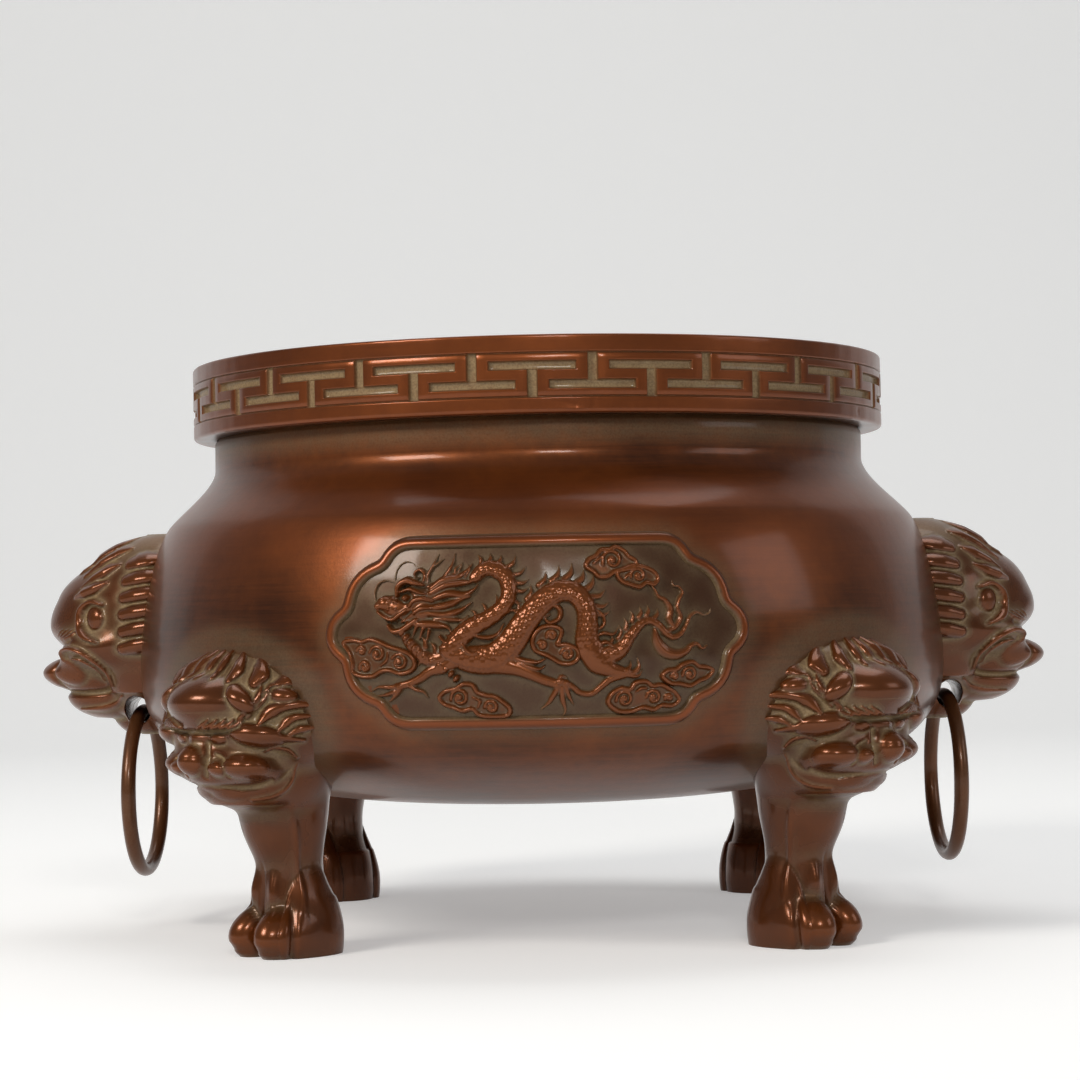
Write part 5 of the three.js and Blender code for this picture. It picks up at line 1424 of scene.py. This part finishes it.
# ---------------------------------------------------------------- stage
class BURNER_OT_stage(bpy.types.Operator):
    """Sets the pale floor and backdrop, the soft lights and the camera"""

    bl_idname = "burner.stage"
    bl_label = "Stage"

    def execute(self, context):
        self.cove()
        self.lights()
        self.sky()
        self.camera()
        context.scene.view_settings.view_transform = "Standard"
        return {"FINISHED"}

    def cove(self):
        """Floor that curves up into a backdrop: a level run, a quarter circle, an upright run."""
        bend = np.linspace(0, math.pi / 2, 24)
        y = np.concatenate([[-1600, -400, 0, 300], 700 + 500 * np.sin(bend), [1200]])
        z = np.concatenate([[0, 0, 0, 0], 500 - 500 * np.cos(bend), [1900]])
        x = np.linspace(-2200, 2200, 9)
        points = np.stack(np.broadcast_arrays(x[:, None], y[None, :], z[None, :]), -1)
        made = finish_mesh("floor", points, grid_faces(len(x), len(y), False, False), {})
        if made.data.polygons[0].normal.z < 0:
            made.data.flip_normals()
        material = bpy.data.materials.new("pale_floor")
        material.use_nodes = True
        tree = material.node_tree
        shader = tree.nodes["Principled BSDF"]
        shader.inputs["Base Color"].default_value = (0.8, 0.8, 0.79, 1)
        shader.inputs["Roughness"].default_value = 0.9
        shader.inputs["Specular IOR Level"].default_value = 0.1
        # Seen by the camera or in metal, the paper glows a little on top of its own shading
        path = node(tree, "ShaderNodeLightPath")
        seen = path.outputs["Is Camera Ray"]
        for ray in ("Is Glossy Ray", "Is Transmission Ray"):
            seen = computed(tree, "MAXIMUM", seen, path.outputs[ray])
        inputs = {"Color": (0.9, 0.9, 0.9), "Strength": computed(tree, "MULTIPLY", seen, 0.36)}
        glow = node(tree, "ShaderNodeEmission", inputs)
        total = node(tree, "ShaderNodeAddShader", {0: shader.outputs[0], 1: glow.outputs[0]})
        tree.links.new(total.outputs[0], tree.nodes["Material Output"].inputs["Surface"])
        made.data.materials.append(material)

    def lights(self):
        """Soft lamps: a key at the front left, one in front, a fill at the right, one over the top."""
        for name, place, aim, size, power, tint in (
            ("key", (-0.62, -0.62, 0.6), (0, 0, 0.06), (0.32, 0.26), 5.0, (1, 0.96, 0.9)),
            ("front", (0.12, -1.15, 0.62), (0, 0, 0.07), (0.22, 0.16), 3.0, (1, 0.98, 0.95)),
            ("fill", (0.9, -0.35, 0.45), (0, 0, 0.06), (0.4, 0.4), 1.0, (0.95, 0.97, 1)),
            ("top", (0.05, 0.25, 0.95), (0, 0, 0.08), (0.8, 0.5), 3.0, (1, 1, 1)),
        ):
            lamp = bpy.data.lights.new(name, "AREA")
            lamp.shape = "RECTANGLE"
            lamp.size, lamp.size_y = size
            lamp.energy = power
            lamp.color = tint
            made = bpy.data.objects.new(name, lamp)
            made.location = place
            way = Vector(aim) - Vector(place)
            made.rotation_euler = way.to_track_quat("-Z", "Y").to_euler()
            bpy.context.scene.collection.objects.link(made)

    def sky(self):
        """Even grey world for soft fill."""
        world = bpy.data.worlds.new("studio")
        bpy.context.scene.world = world
        world.use_nodes = True
        even = world.node_tree.nodes["Background"]
        even.inputs["Color"].default_value = (0.95, 0.97, 1, 1)
        even.inputs["Strength"].default_value = 0.22

    def camera(self):
        """Camera at the photograph's angle: 0.65 degrees round from the front, 551 mm away,
        64.5 mm up, tilted up 1.343 degrees and rolled 1.2 degrees."""
        turn, tilt, roll = math.radians(0.65), math.radians(1.343), math.radians(1.2)
        away, height = 551, 64.5
        across = Vector((math.cos(turn), math.sin(turn), 0))
        ahead = Vector((-math.sin(turn), math.cos(turn), 0))
        upright = Vector((0, 0, 1))
        forward = ahead * math.cos(tilt) + upright * math.sin(tilt)
        up = upright * math.cos(tilt) - ahead * math.sin(tilt)
        right = across * math.cos(roll) - up * math.sin(roll)
        above = up * math.cos(roll) + across * math.sin(roll)
        lens = bpy.data.cameras.new("camera")
        lens.lens = 89.57
        lens.sensor_width = 36
        lens.clip_start, lens.clip_end = 0.01, 20
        made = bpy.data.objects.new("camera", lens)
        pose = Matrix((right, above, -forward)).transposed().to_4x4()
        pose.translation = Vector((away * math.sin(turn), -away * math.cos(turn), height)) * MM
        made.matrix_world = pose
        bpy.context.scene.collection.objects.link(made)
        bpy.context.scene.camera = made


class BURNER_PT_panel(bpy.types.Panel):
    """Lists the burner's steps and settings"""

    bl_idname = "BURNER_PT_panel"
    bl_label = "Incense burner"
    bl_space_type = "VIEW_3D"
    bl_region_type = "UI"
    bl_category = "Burner"

    def draw(self, context):
        for step in STEPS:
            self.layout.operator(step.bl_idname)
        for group in (context.scene.burner_looks, context.scene.burner_sizes):
            box = self.layout.box()
            for name in group.__annotations__:
                box.prop(group, name)


STEPS = (
    BURNER_OT_stage, BURNER_OT_bowl, BURNER_OT_collar, BURNER_OT_panels,
    BURNER_OT_legs, BURNER_OT_lugs, BURNER_OT_rings, BURNER_OT_rivets,
)
CLASSES = (BurnerLooks, BurnerSizes, *STEPS, BURNER_PT_panel)


def register():
    for each in CLASSES:
        bpy.utils.register_class(each)
    bpy.types.Scene.burner_looks = PointerProperty(type=BurnerLooks)
    bpy.types.Scene.burner_sizes = PointerProperty(type=BurnerSizes)


def unregister():
    del bpy.types.Scene.burner_sizes
    del bpy.types.Scene.burner_looks
    for each in reversed(CLASSES):
        bpy.utils.unregister_class(each)


def main():
    """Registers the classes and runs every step."""
    register()
    for step in STEPS:
        group, name = step.bl_idname.split(".")
        getattr(getattr(bpy.ops, group), name)()


if __name__ == "__main__":
    main()
